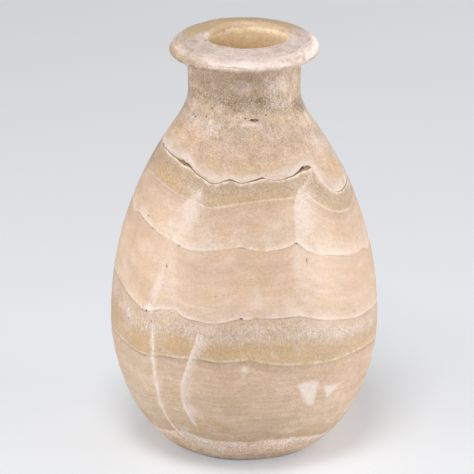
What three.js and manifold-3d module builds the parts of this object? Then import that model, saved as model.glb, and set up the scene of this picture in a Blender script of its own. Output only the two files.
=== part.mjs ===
// A tall egg-shaped vessel with a short neck and a disc lip, carved from one block of banded calcite.
// Along the shoulder the stone has parted on one of its bedding layers. The parting is a hairline for most
// of its way and opens into lens-shaped voids, and old burial earth is still lodged in four of them.
// Millimetres, +Z up, the origin in the middle of the flat underside, the photographed side facing -Y.
import * as THREE from 'three';
import Module from 'manifold-3d';

// Overall form
const overallHeight = 246;
const baseRadius = 42;
const bellyRadius = 78;
const bellyHeight = 76;
const neckRadius = 31.9;
const neckFlare = 1.1;
const neckJoinSpread = 9;

// The shoulder is the upper half of an egg that would close on the axis this far above the belly
const shoulderReach = 160;

// Lip
const lipRadius = 43;
const lipHeight = 9.6;
const lipUnderRound = 1.8;
const lipWidestRise = 2.4;
const lipTopRound = 8;
const lipTopFall = 1.2;

// Mouth and hollow
const mouthRadius = 22.3;
const mouthRoundWidth = 4.7;
const mouthRoundDepth = 6;
const bellyWall = 13.5;
const floorThickness = 20;
const floorRadius = 34;
const hollowReach = 150;

// Parting and pits in the stone
const voidHeight = 2.9;
const voidDepth = 4.2;
const hairlineHeight = 0.7;
const hairlineDepth = 1.3;
const pitHeight = 1.9;
const pitDepth = 2.6;
const cutOverrun = 2;

// Earth lodged in the voids
const earthClearance = 0.3;
const earthRecess = 0.7;

// Shape of the curves: the powers of the two egg halves
const lowerPowerShare = 0.688;
const upperPowerShare = 0.85;

// A cut's cross-section, from the surface down to its root
const waistDepthShare = 0.6;
const waistHeightShare = 0.66;
const endHeightShare = 0.12;

// How finely the round forms are divided
const roundSegments = 64;
const lowerSteps = 10;
const upperSteps = 22;
const hollowSteps = 14;
const hollowLowerSteps = 6;
const lipUnderSteps = 3;
const lipTopSteps = 6;
const mouthSteps = 4;

// Places along the shoulder parting. Each row is the angle in degrees from the front towards +X, the
// height as a share of the way from the belly to the underside of the lip, and how far the parting has
// opened there, from 0, a hairline, to 1, a full void.
const leftPartingShares = [
  [-86, 0.667, 0],
  [-83, 0.666, 0.5],
  [-80, 0.667, 0.5],
  [-77, 0.668, 0],
  [-68, 0.668, 0],
  [-57, 0.664, 0],
  [-49, 0.658, 0.1],
  [-45.5, 0.656, 0.9],
  [-42, 0.652, 1],
  [-38.5, 0.649, 0.55],
  [-35.5, 0.641, 0.05],
  [-29, 0.632, 0],
  [-22, 0.617, 0],
  [-16, 0.618, 0],
  [-9, 0.63, 0],
  [-1.5, 0.62, 0],
  [7, 0.63, 0],
  [13, 0.635, 0.1],
  [20, 0.624, 0],
  [30, 0.627, 0],
  [37, 0.634, 0.3],
  [41, 0.638, 0.8],
  [45, 0.64, 1],
  [49, 0.638, 0.6],
  [51.5, 0.637, 0],
];
const rightPartingShares = [
  [50, 0.617, 0],
  [53.5, 0.59, 0],
  [57, 0.56, 0],
  [61, 0.533, 0],
  [66, 0.524, 0.05],
  [72, 0.522, 0.05],
  [80, 0.522, 0],
  [88, 0.526, 0],
  [95, 0.535, 0],
];

// The pit at the foot of the neck, laid out in the same way
const neckPitShares = [
  [6.2, 0.808, 0],
  [8, 0.81, 0.75],
  [10.2, 0.814, 1],
  [12, 0.817, 0.6],
  [13.4, 0.819, 0],
];

// The voids that still hold earth, as the rows of those tables where the earth begins and ends
const leftEdgeEarthRows = [1, 2];
const leftVoidEarthRows = [7, 9];
const rightVoidEarthRows = [21, 23];
const neckPitEarthRows = [1, 3];

const lipUnderside = overallHeight - lipHeight;
const cavityRadius = bellyRadius - bellyWall;

// The larger of two radii, eased into each other where they come closer than the given size
function easedLarger(a, b, size) {
  const near = Math.max(0, size - Math.abs(a - b)) / size;
  return Math.max(a, b) + (near * near * size) / 4;
}

// Radius of the lower half of an egg, from a flat disc up to the belly
function lowerRadius(share, discRadius, fullRadius) {
  const swell = Math.pow(1 - (1 - share) ** 2, lowerPowerShare);
  return discRadius + (fullRadius - discRadius) * swell;
}

// Radius of the upper half of an egg, rising from the belly and cut off by a straight neck
function upperRadius(rise, reach, fullRadius, neck) {
  const left = Math.max(0, 1 - (rise / reach) ** 2);
  return easedLarger(fullRadius * Math.pow(left, upperPowerShare), neck, neckJoinSpread);
}

// Radius of the neck at a share of the height from the belly to the lip: it flares a little towards the lip
function neckRadiusAt(share) {
  return neckRadius + neckFlare * share ** 8;
}

// Outer radius between the belly and the underside of the lip
function shoulderRadius(height) {
  const share = (height - bellyHeight) / (lipUnderside - bellyHeight);
  return upperRadius(height - bellyHeight, shoulderReach, bellyRadius, neckRadiusAt(share));
}

// Points of a quarter of an ellipse that starts at its side and ends at its top, or the other way round
function quarter(centre, width, height, steps, startAtSide = true) {
  const points = [];
  for (let i = 1; i <= steps; i++) {
    const turn = (i / steps) * (Math.PI / 2);
    const angle = startAtSide ? turn : Math.PI / 2 - turn;
    points.push(new THREE.Vector2(centre.x + width * Math.cos(angle), centre.y + height * Math.sin(angle)));
  }
  return points;
}

// The half section of the vessel, from the axis under the base, up the outside, over the lip and down inside
function vesselOutline() {
  const points = [new THREE.Vector2(0, 0)];

  for (let i = 0; i < lowerSteps; i++) {
    const share = (i / lowerSteps) ** 2;
    points.push(new THREE.Vector2(lowerRadius(share, baseRadius, bellyRadius), share * bellyHeight));
  }

  for (let i = 0; i <= upperSteps; i++) {
    const height = THREE.MathUtils.lerp(bellyHeight, lipUnderside, i / upperSteps);
    points.push(new THREE.Vector2(shoulderRadius(height), height));
  }

  const widest = lipUnderside + lipWidestRise;
  const underCentre = new THREE.Vector2(lipRadius - lipUnderRound, widest);
  points.push(new THREE.Vector2(underCentre.x, lipUnderside));
  points.push(...quarter(underCentre, lipUnderRound, -lipWidestRise, lipUnderSteps, false));

  const shoulder = overallHeight - lipTopFall;
  const topCentre = new THREE.Vector2(lipRadius - lipTopRound, widest);
  points.push(...quarter(topCentre, lipTopRound, shoulder - widest, lipTopSteps));

  const mouthCentre = new THREE.Vector2(mouthRadius + mouthRoundWidth, overallHeight - mouthRoundDepth);
  points.push(new THREE.Vector2(mouthCentre.x, overallHeight));
  points.push(...quarter(mouthCentre, -mouthRoundWidth, mouthRoundDepth, mouthSteps, false));

  for (let i = 1; i <= hollowSteps; i++) {
    const height = THREE.MathUtils.lerp(mouthCentre.y, bellyHeight, i / hollowSteps);
    const radius = upperRadius(height - bellyHeight, hollowReach, cavityRadius, mouthRadius);
    points.push(new THREE.Vector2(radius, height));
  }

  for (let i = hollowLowerSteps - 1; i >= 0; i--) {
    const share = (i / hollowLowerSteps) ** 2;
    const height = THREE.MathUtils.lerp(floorThickness, bellyHeight, share);
    points.push(new THREE.Vector2(lowerRadius(share, floorRadius, cavityRadius), height));
  }

  points.push(new THREE.Vector2(0, floorThickness));
  return points;
}

// The lathe turns about +Y, so the turned form is stood up on +Z, with its start at the front
function turned(outline) {
  return new THREE.LatheGeometry(outline, roundSegments).rotateX(Math.PI / 2);
}

// One ring of a cut at a place on the shoulder. Each section point is its height along the surface and its
// depth under it. The cut follows the slope of the surface.
function ringOnShoulder(angleDegrees, heightShare, section) {
  const height = THREE.MathUtils.lerp(bellyHeight, lipUnderside, heightShare);
  const radius = shoulderRadius(height);
  const above = new THREE.Vector2(shoulderRadius(height + hairlineHeight), height + hairlineHeight);
  const upward = above.sub(new THREE.Vector2(radius, height)).normalize();
  const outward = new THREE.Vector2(upward.y, -upward.x);
  const angle = THREE.MathUtils.degToRad(angleDegrees);
  return section.map(([along, depth]) => {
    const r = radius + upward.x * along - outward.x * depth;
    const z = height + upward.y * along - outward.y * depth;
    return new THREE.Vector3(r * Math.sin(angle), -r * Math.cos(angle), z);
  });
}

// A closed solid through a row of rings with equal numbers of points
function loft(rings) {
  const count = rings[0].length;
  const positions = rings.flat().flatMap((point) => point.toArray());
  const index = [];
  for (let ring = 0; ring + 1 < rings.length; ring++) {
    for (let i = 0; i < count; i++) {
      const a = ring * count + i;
      const b = ring * count + ((i + 1) % count);
      index.push(a, a + count, b, b, a + count, b + count);
    }
  }
  const last = (rings.length - 1) * count;
  for (let i = 1; i + 1 < count; i++) {
    index.push(0, i, i + 1);
    index.push(last, last + i + 1, last + i);
  }
  const geometry = new THREE.BufferGeometry();
  geometry.setAttribute('position', new THREE.Float32BufferAttribute(positions, 3));
  geometry.setIndex(index);
  return geometry;
}

// Half height and depth of a cut that has opened by a share between its narrowest and its widest
function cutSize(open, narrow, wide) {
  return {
    half: THREE.MathUtils.lerp(narrow.height, wide.height, open) / 2,
    depth: THREE.MathUtils.lerp(narrow.depth, wide.depth, open),
  };
}

const hairline = { height: hairlineHeight, depth: hairlineDepth };
const fullVoid = { height: voidHeight, depth: voidDepth };
const pitEnd = { height: pitHeight * endHeightShare, depth: pitDepth * endHeightShare };
const fullPit = { height: pitHeight, depth: pitDepth };

// The solid that a parting or a pit takes out of the stone: straight through the surface, then drawn in to
// a root line under it. Both ends run out to almost nothing.
function cleft(places, narrow, wide) {
  const rings = places.map(([angle, heightShare, open], i) => {
    const size = cutSize(open, narrow, wide);
    const ending = i === 0 || i === places.length - 1;
    const half = ending ? size.half * endHeightShare : size.half;
    const depth = ending ? size.depth * endHeightShare : size.depth;
    const waist = half * waistHeightShare;
    const waistDepth = depth * waistDepthShare;
    const section = [
      [half, -cutOverrun],
      [half, 0],
      [waist, waistDepth],
      [0, depth],
      [-waist, waistDepth],
      [-half, 0],
      [-half, -cutOverrun],
    ];
    return ringOnShoulder(angle, heightShare, section);
  });
  return loft(rings);
}

// Earth lodged in a stretch of such a cut: the cut's own section, drawn in by the clearance all round and
// with its face set back under the surface of the stone
function earthLodgedIn(places, [first, last], narrow, wide) {
  const rings = places.slice(first, last + 1).map(([angle, heightShare, open]) => {
    const size = cutSize(open, narrow, wide);
    const waistDepth = size.depth * waistDepthShare;
    const faceHalf = THREE.MathUtils.lerp(size.half, size.half * waistHeightShare, earthRecess / waistDepth);
    const waist = size.half * waistHeightShare - earthClearance;
    const section = [
      [faceHalf - earthClearance, earthRecess],
      [waist, waistDepth],
      [0, size.depth - 2 * earthClearance],
      [-waist, waistDepth],
      [earthClearance - faceHalf, earthRecess],
    ];
    return ringOnShoulder(angle, heightShare, section);
  });
  return loft(rings);
}

const wasm = await Module();
wasm.setup();

// A closed geometry as a solid that can be cut. Points that lie together are one point in it.
function toSolid(geometry) {
  const position = geometry.getAttribute('position');
  const places = new Map();
  const vertices = [];
  const renumbered = [];
  for (let i = 0; i < position.count; i++) {
    const point = new THREE.Vector3().fromBufferAttribute(position, i);
    const key = point.toArray().map((value) => value.toFixed(5).replace('-0.00000', '0.00000')).join(' ');
    if (!places.has(key)) {
      places.set(key, places.size);
      vertices.push(...point.toArray());
    }
    renumbered.push(places.get(key));
  }
  const triangles = [];
  for (let i = 0; i < geometry.index.count; i += 3) {
    const corners = [0, 1, 2].map((corner) => renumbered[geometry.index.getX(i + corner)]);
    if (new Set(corners).size === 3) {
      triangles.push(...corners);
    }
  }
  const mesh = new wasm.Mesh({
    numProp: 3,
    vertProperties: new Float32Array(vertices),
    triVerts: new Uint32Array(triangles),
  });
  return new wasm.Manifold(mesh);
}

// A cut solid as a geometry again
function toGeometry(solid) {
  const mesh = solid.getMesh();
  const geometry = new THREE.BufferGeometry();
  geometry.setAttribute('position', new THREE.BufferAttribute(mesh.vertProperties, 3));
  geometry.setIndex(new THREE.BufferAttribute(mesh.triVerts, 1));
  return geometry;
}

const stone = new THREE.MeshStandardMaterial({ color: 0xd8c1a2, roughness: 0.5, metalness: 0 });
const earth = new THREE.MeshStandardMaterial({ color: 0x7c6447, roughness: 0.95, metalness: 0 });

const vase = new THREE.Group();

function addPiece(name, geometry, material) {
  geometry.computeVertexNormals();
  const mesh = new THREE.Mesh(geometry, material.clone());
  mesh.name = name;
  vase.add(mesh);
}

const body = [
  cleft(leftPartingShares, hairline, fullVoid),
  cleft(rightPartingShares, hairline, fullVoid),
  cleft(neckPitShares, pitEnd, fullPit),
].reduce((solid, cut) => solid.subtract(toSolid(cut)), toSolid(turned(vesselOutline())));

addPiece('vase_body', toGeometry(body), stone);
addPiece('earth_in_left_edge_hole', earthLodgedIn(leftPartingShares, leftEdgeEarthRows, hairline, fullVoid), earth);
addPiece('earth_in_left_void', earthLodgedIn(leftPartingShares, leftVoidEarthRows, hairline, fullVoid), earth);
addPiece('earth_in_right_void', earthLodgedIn(leftPartingShares, rightVoidEarthRows, hairline, fullVoid), earth);
addPiece('earth_in_neck_pit', earthLodgedIn(neckPitShares, neckPitEarthRows, pitEnd, fullPit), earth);

export default vase;
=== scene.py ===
import math

import bmesh
import bpy
import numpy as np
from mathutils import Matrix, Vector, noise


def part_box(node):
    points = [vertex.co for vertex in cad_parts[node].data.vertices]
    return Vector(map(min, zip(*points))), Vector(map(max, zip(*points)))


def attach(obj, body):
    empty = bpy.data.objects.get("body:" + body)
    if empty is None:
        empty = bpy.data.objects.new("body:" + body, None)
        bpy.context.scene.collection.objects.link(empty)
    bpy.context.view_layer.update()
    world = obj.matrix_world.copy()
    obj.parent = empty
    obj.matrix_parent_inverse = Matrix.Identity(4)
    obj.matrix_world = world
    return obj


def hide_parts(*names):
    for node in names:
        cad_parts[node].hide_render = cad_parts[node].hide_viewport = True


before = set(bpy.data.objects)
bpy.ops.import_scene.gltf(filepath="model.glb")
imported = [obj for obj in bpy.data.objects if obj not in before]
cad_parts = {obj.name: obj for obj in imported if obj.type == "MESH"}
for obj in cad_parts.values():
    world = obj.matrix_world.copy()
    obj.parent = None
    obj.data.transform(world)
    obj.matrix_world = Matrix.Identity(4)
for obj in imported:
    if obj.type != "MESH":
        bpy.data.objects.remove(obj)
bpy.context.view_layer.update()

MM = 0.001

# The viewing angle of the photograph, and where it shows the middle of the vase
FRAME_PIXELS = 474
VIEW_ELEVATION = math.radians(21.9)
VIEW_DISTANCE = 2000
VIEW_HEIGHT = 125
FOCAL_PIXELS = 3457.7
MIDDLE_PIXEL = (244.2, 233.4)
SENSOR_WIDTH = 36
# A line of sight is searched this far before and behind the middle, at this many points
SEARCH_REACH = 110
SEARCH_POINTS = 2201

# Form of the vase. The height and the belly come from the frame.
OVERALL_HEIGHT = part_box("vase_body")[1].z / MM
BELLY_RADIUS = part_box("vase_body")[1].x / MM
BASE_RADIUS = 42
BELLY_HEIGHT = 76
NECK_RADIUS = 31.9
NECK_FLARE = 1.1
NECK_FLARE_POWER = 8
NECK_JOIN_SPREAD = 9
SHOULDER_REACH = 160
LOWER_POWER = 0.688
UPPER_POWER = 0.85
LIP_RADIUS = 43
LIP_HEIGHT = 9.6
LIP_UNDER_ROUND = 1.8
LIP_WIDEST_RISE = 2.4
LIP_TOP_ROUND = 8
LIP_TOP_FALL = 1.2
LIP_JOIN_ROUND = 1.6
MOUTH_RADIUS = 22.3
BORE_TOP_DEPTH = 7
BELLY_WALL = 13.5
FLOOR_THICKNESS = 20
FLOOR_RADIUS = 34
HOLLOW_REACH = 150
FOOT_ROUND = 1.2
BASE_HOLLOW = 0.25
LIP_UNDERSIDE = OVERALL_HEIGHT - LIP_HEIGHT

# The mouth's edge is crisp in front and worn to a funnel behind: angle, width and depth of its rounding
MOUTH_EDGE = (
    (-175, 5.5, 6.5), (-135, 6.5, 6.5), (-105, 6.5, 5.5), (-88, 3.6, 4.2), (-72, 2.4, 2.8), (-50, 1.5, 1.8),
    (-30, 0.9, 1.2), (0, 0.7, 0.9), (32, 0.8, 1), (58, 1.5, 1.9), (85, 2.2, 3), (115, 4, 5), (150, 5.5, 6.5),
)
# The bore lies this far towards +X at its mouth, and is true again this far down
MOUTH_OFFSET = 2
MOUTH_OFFSET_DEPTH = 26
# Between these depths the mouth's colour deepens and its painted glow fades
MOUTH_DEEPENS = (4, 17)
# Where that painted glow is full, it varies between these strengths
MOUTH_LIGHT_STRENGTH = (0.08, 0.2)

# How finely the stone is divided. Its rows crowd towards the foot, and in the hollow towards the floor.
FRONT_COLUMNS = 252
BACK_COLUMNS = 96
FRONT_REACH = 100
ROW_STEP = 1.9
FOOT_CROWDING = 1.7
HOLLOW_ROWS = 32
HOLLOW_CROWDING = 1.15
BASE_RINGS = (4, 14, 24, 33)
BASE_SLOPE_RADIUS = 37
FLOOR_RINGS = (27, 18, 8)
PIT_CUTS = 4
EARTH_CUTS = 3

# Bedding lines, as the pixels where the photograph shows them, and guessed angles and heights behind.
# The parting also has how far it is open, in mm, and each seam how dark the hairline along it is.
PARTING = (
    (161.8, 143.8, 0.3), (164.5, 147.3, 0.3), (167.9, 150.5, 0.25), (175.5, 157.5, 0.3), (178.4, 160.4, 1.0),
    (180.6, 162.2, 1.8), (183.3, 164.7, 1.5), (186.5, 166.2, 1.9), (189.5, 167.4, 1.1), (191.8, 168.8, 0.35),
    (195.9, 173.5, 0.28), (201, 176.9, 0.25), (206.1, 181.1, 0.3), (211.2, 183.5, 0.3), (218.2, 183.4, 0.4),
    (224.6, 181.6, 0.7), (229.1, 180.7, 0.9), (234.2, 181.6, 0.5), (241.8, 183.6, 0.3), (247.7, 182.9, 0.4),
    (255.3, 180.8, 0.7), (262.5, 178.8, 1.1), (265, 178.6, 0.4), (270.6, 179.8, 0.2), (276.7, 180.4, 0.2),
    (285.9, 179, 0.25), (293.6, 176.2, 0.5), (299.7, 172.6, 1.3), (305.3, 170.3, 2.5), (309.5, 168.9, 2.4),
    (312.2, 167.5, 1.2), (313.8, 168.6, 0), (315.2, 173.5, 0), (317, 176.2, 0.12), (319.6, 178.5, 0.16),
    (325.7, 185.1, 0.22), (331.8, 190.3, 0.3), (337.2, 192.3, 0.4), (342.5, 190.3, 0.3), (346, 185.1, 0.2),
)
PARTING_BEHIND = (
    (90, 159.8, 0.15), (100, 163, 0.15), (112, 166, 0.4), (125, 168, 1.0), (136, 170.5, 0.3), (150, 174, 0.2),
    (165, 177, 0.15), (180, 178, 0.15), (196, 178.6, 0.5), (210, 180, 1.2), (219, 181, 0.4),
    (232, 182.6, 0.2), (244, 183.2, 0), (262, 183.5, 0), (274, 183.6, 0),
)
CHALK_TOP = (
    (165.6, 137.5), (175.9, 144.6), (189.3, 153.6), (193.8, 161.6), (207, 169.6), (218.8, 176.5),
    (229.5, 175.5), (240, 175.9), (252, 174), (262, 172.9), (270, 171.9), (283.6, 169.6), (294.3, 162.5),
    (301.4, 158.9), (313, 158), (318.4, 167.9), (323.8, 178), (330, 182), (337.1, 180.4), (345.2, 173.2),
    (348, 168),
)
CHALK_TOP_BEHIND = ((95, 168), (112, 171), (136, 176), (165, 182), (196, 184), (219, 187), (262, 189))
GOLDEN_EDGE = (
    (146, 166), (152, 172), (160, 180), (170, 188), (182, 195), (195, 201), (205, 206), (212, 207.6),
    (225, 205.5), (240, 203), (252, 201.5), (265.7, 199.1), (280, 198.2), (292, 197), (300, 193.5),
    (307, 192), (312, 198), (323.8, 206), (332, 209.5), (341.6, 210.7), (349, 207.5), (354, 196),
)
GOLDEN_EDGE_BEHIND = ((95, 151), (125, 158), (150, 163), (180, 167), (219, 170), (262, 171))
MIDDLE_SEAM = (
    (134, 210.3, 0.2), (138.9, 211.2, 0.9), (142, 216, 0.8), (146.2, 221.2, 0.7), (154.3, 229.3, 0.5),
    (162.3, 235.3, 0.2), (173, 241.3, 0.3), (183.7, 248, 0.3), (191.8, 250.3, 0.15), (203.8, 250.7, 0.3),
    (215.9, 250, 0.1), (229.3, 249.4, 0.2), (238, 247.6, 0.5), (242, 247, 0.8), (253.4, 250.7, 0.2),
    (265.4, 251.4, 0.1), (280.2, 249.4, 0.4), (288.2, 246.9, 0.3), (296.6, 243.4, 0.9), (305.7, 249.4, 0.3),
    (319.1, 254.7, 0.3), (336.5, 255, 0.15), (349.9, 254.5, 0.1), (358, 251.8, 0.1), (363.3, 247.2, 0.5),
    (368, 248.6, 0.4),
)
MIDDLE_SEAM_BEHIND = (
    (100, 124, 0.3), (125, 130, 0.5), (150, 137, 0.2), (180, 143, 0.6), (210, 146, 0.3), (240, 149, 0.5),
    (260, 150, 0.3),
)
LOW_SEAM = (
    (114.1, 265.4, 0.7), (116.8, 273.4, 0.9), (122.1, 284.1, 0.9), (128.8, 294.8, 0.8), (135.5, 302.9, 0.7),
    (141.5, 309.5, 0.9), (147.5, 312.2, 0.6), (151.5, 310.4, 0.2), (160, 309, 0.2), (173.7, 309.5, 0.3),
    (178.3, 313, 0.4), (182.8, 316.8, 0.6), (189, 319.5, 0.5), (198.1, 321.4, 0.6), (205, 323.3, 0.2),
    (216.5, 323.7, 0.3), (228, 322.1, 0.3), (238.7, 319.2, 0.9), (246.8, 321, 0.4), (254.8, 318.3, 0.3),
    (273.6, 318.9, 0.4), (289.6, 317.6, 0.7), (300.4, 316.2, 0.5), (313.7, 318.9, 0.5), (327.1, 319.6, 0.2),
    (340.5, 319.6, 0.2), (353.9, 318.3, 0.3), (362, 314.9, 0.4), (368.7, 310.9, 0.6),
)
LOW_SEAM_BEHIND = (
    (95, 84, 0.5), (110, 87, 0.3), (140, 95, 0.6), (180, 103, 0.3), (210, 105, 0.7), (240, 107, 0.4),
    (265, 106, 0.6),
)
HONEY_FLOOR = (
    (126.2, 343, 0.7), (134.2, 349.7, 0.9), (143.6, 354.4, 0.9), (150, 355.2, 0.3), (159.6, 355.3, 0.9),
    (170.4, 357.1, 0.9), (176, 358, 0.5), (183.7, 358.4, 0.1), (191.8, 359.1, 0.5), (203.8, 360.4, 0.9),
    (215.9, 362.9, 0.7), (230.6, 362.5, 0.3), (250, 360.4, 0.2), (260.2, 363, 0.3), (280.3, 365.8, 0.4),
    (305, 365, 0.1), (335, 360, 0.1), (358, 350, 0.1),
)
HONEY_FLOOR_BEHIND = ((100, 62, 0.1), (140, 68, 0.4), (180, 78, 0.6), (240, 74, 0.3), (265, 73, 0.5))
WHITE_FOOT = (
    (147.6, 420.7), (159.6, 428.7), (176, 430.5), (189.1, 432.8), (197.1, 436.8), (210.5, 440.1),
    (223.9, 442.1), (233.4, 442.1), (250, 442.1), (260.2, 440.8), (276.2, 439.5), (295, 436.8),
    (313.7, 435.4), (327.1, 432.8), (336.5, 426.1),
)
WHITE_FOOT_BEHIND = ((80, 14.5), (100, 14), (140, 18), (180, 22), (260, 18), (285, 18))
NECK_EDGE = ((190, 81), (207, 93), (220, 95.5), (245, 96.5), (275, 98), (290, 101.5))
NECK_EDGE_BEHIND = ((90, 209), (130, 214), (180, 220), (240, 221), (270, 221))

# The same lines' heights in the undisturbed bedding
BED_WHITE_FOOT = 22
BED_HONEY_FLOOR = 76
BED_LOW_SEAM = 102
BED_MIDDLE_SEAM = 142
BED_GOLDEN_EDGE = 166
BED_PARTING = 177
BED_CHALK_TOP = 184
BED_NECK_EDGE = 220
BED_NECK_TOP = LIP_UNDERSIDE - LIP_JOIN_ROUND
# The layers on both sides of the golden edge and the one over the parting are at least this thick, and the
# parting is at least this far open
LEAST_LAYER = 1.6
LEAST_OPENING = 0.12

# Veins of white spar: pixels on the middle line, and the half width in mm
LEFT_VEIN = (
    (152, 322, 0.3), (151.8, 328, 1.0), (152.4, 334, 0.6), (152.2, 343, 1.1), (152.8, 351, 0.8),
    (152.4, 356, 1.3), (152.6, 359.5, 2.1), (153.4, 363, 1.2), (154, 369, 1.0), (154.6, 376, 1.2),
    (155, 382, 2.0), (157, 387, 1.6), (158, 393, 0.9), (159.2, 400, 0.7), (160.3, 405, 1.9),
    (162, 408.5, 0.9), (167, 418, 0.5), (172, 425, 0.6), (177, 431, 0.9), (183, 437, 0.3),
)
RIGHT_VEIN = (
    (198, 332, 0.4), (197, 339, 0.9), (195, 346, 0.8), (192.5, 352, 1.2), (190, 358, 0.9), (188, 364, 1.2),
    (186, 371, 0.9), (183.5, 378, 1.3), (181.8, 386, 1.3), (181.4, 393, 1.4), (182.2, 400, 1.1),
    (184, 405, 1.0), (185.6, 409, 1.9), (188.4, 416, 0.9), (192, 422, 0.6), (196, 428, 0.3),
)

# Pale streaks, painted as soft reflections of the softboxes: pixels on each line, its reach in mm to the left
# and to the right, and its strength. A short reach gives a crisp edge on that side.
SHEEN_STREAKS = (
    (
        (203, 183, 1, 1, 0.3), (200, 191, 4, 2.4, 0.9), (195, 199, 6, 5, 0.85), (190, 207, 7, 8, 0.95),
        (188, 217, 7, 8, 0.9), (184, 227, 6, 7, 0.7), (177, 236, 3, 3, 0.5), (171, 243, 1.6, 1.6, 0.5),
        (166, 259, 1.2, 1.6, 0.45), (162, 272, 2.2, 2.4, 0.6), (157.5, 284, 4.2, 4.2, 0.9),
        (155, 295, 3.6, 3.6, 0.9), (152.5, 306, 1.2, 1.2, 0.8), (152, 316, 0.7, 0.7, 0.6),
    ),
    (
        (176, 241, 4, 0.8, 0.3), (175.8, 255, 9, 0.8, 0.4), (175.6, 275, 11, 0.8, 0.4),
        (175.5, 295, 11, 0.8, 0.5), (175.5, 309, 9, 0.8, 0.6),
    ),
    (
        (311, 172, 0.9, 2, 0.9), (306, 181, 0.9, 5, 0.7), (299, 190, 1, 10, 0.8), (296, 200, 1.2, 15, 0.95),
        (296, 215, 1.4, 17, 0.9), (297, 232, 1.4, 17, 0.85), (297, 242, 1.2, 10, 0.7),
        (294, 250, 2.5, 10, 0.6), (297, 262, 3, 12, 0.55), (299, 280, 3, 13, 0.45), (299, 300, 3, 13, 0.4),
        (299, 316, 3, 9, 0.4),
    ),
)

# White spar shows as wedges: the corners of each, in pixels, clockwise, and how much they thin downwards
SPAR_WEDGES = (
    ((297, 385.5), (304, 382.6), (319, 381.8), (314.5, 406.5), (305.6, 406.5)),
    ((324.2, 386.5), (340.5, 382.8), (336, 389.5), (326.2, 399)),
    ((240.5, 368), (248, 366.6), (255, 371.5), (247, 372.6), (245.5, 376.4), (242, 373)),
    ((144, 307), (149, 303), (153.5, 311.5), (147, 314)),
)
WEDGE_FADE = 0.06

# Distances from a wedge, in mm, and from a vein, in its half widths, are kept only up to these
WEDGE_LIMIT = 20
VEIN_LIMIT = 40

# Patches of another stone colour: pixel of the middle, half width and half height in mm, strength. The mossy
# ones lie in the lower body, and the ashen ones in the foot. Some grey ones are painted shade, and two chalk
# ones on the neck's right also paint light.
MOSS_PATCHES = (
    (138, 382, 11, 22, 0.7), (128, 352, 5, 14, 0.5), (150, 406, 9, 12, 0.6), (169, 384, 8, 16, 0.5),
    (206, 398, 14, 14, 0.45), (176, 412, 8, 8, 0.4), (212, 380, 10, 7, 0.4), (240, 396, 14, 8, 0.3),
)
ASH_PATCHES = (
    (184, 432, 5, 4, 0.9), (192, 439, 7, 4, 0.9), (206, 445, 9, 4, 1.0), (222, 449, 9, 3.4, 0.9),
    (236, 446, 7, 2.4, 0.6), (258, 446, 14, 2, 0.4), (300, 441, 10, 3, 0.5), (318, 438, 8, 4, 0.7),
    (331, 429, 5, 5, 0.6), (262, 458, 14, 1, 0.6),
)
CHALK_PATCHES = (
    (194, 190.5, 5, 3.4, 0.6), (200, 224, 8, 10, 0.4), (140, 232, 5, 9, 0.25), (285, 214, 8, 8, 0.3),
    (258.5, 303, 2.4, 4, 0.5), (294, 307, 5, 5, 0.6), (230, 208, 9, 3, 0.3), (316, 330, 12, 4, 0.5),
    (342, 332, 10, 5, 0.6), (261, 332, 3, 2.2, 0.7), (169, 142, 9, 6, 0.4), (212, 127, 6, 5, 0.6),
    (206, 124, 3, 2, 0.6), (307, 116, 3.4, 4, 0.9), (247, 123.5, 7, 1.4, 0.9), (232, 124, 7, 2.4, 0.6),
    (167, 330, 12, 2.6, 0.4), (202, 340, 3, 7, 0.7), (208, 330, 5, 3, 0.6), (166, 309, 10, 1.2, 0.6),
    (160, 304, 5, 2, 0.5), (192, 338, 2.0, 5, 0.5), (128, 310, 2.4, 4, 0.8), (124, 300, 2, 6, 0.5),
    (183, 438, 6, 2.2, 0.6), (252, 447, 14, 2, 0.3), (271, 387, 8, 2.4, 0.35), (283, 384, 3.5, 2, 0.4),
    (233, 383, 9, 1.4, 0.35), (212, 448, 12, 3, 0.5), (318, 403, 9, 3, 0.3), (140, 212, 4, 3, 0.5),
    # (282, 86) and (296, 84) on the neck's right are paler stone with painted light on it
    (221.5, 292.5, 2.2, 1.2, 0.5), (255, 109, 8, 3, 0.35), (282, 86, 9, 8, 0.75), (296, 84, 5, 9, 0.6),
    (246, 87, 10, 3.4, 0.7), (236, 118, 4, 1.6, 0.5), (286, 101, 10, 4.4, 0.65), (200, 128, 6, 5, 0.5),
    (192, 104, 4, 5, 0.6), (268, 108, 8, 3, 0.4), (306, 447, 10, 4, 0.7), (273, 99, 6, 4, 0.5),
    (320, 178, 3.4, 4, 0.5), (140, 226, 3, 4, 0.3), (270, 92, 8, 3, 0.5), (190, 92, 3, 8, 0.5),
    (355, 330, 8, 8, 0.5), (358, 300, 4, 9, 0.4),
)
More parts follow.
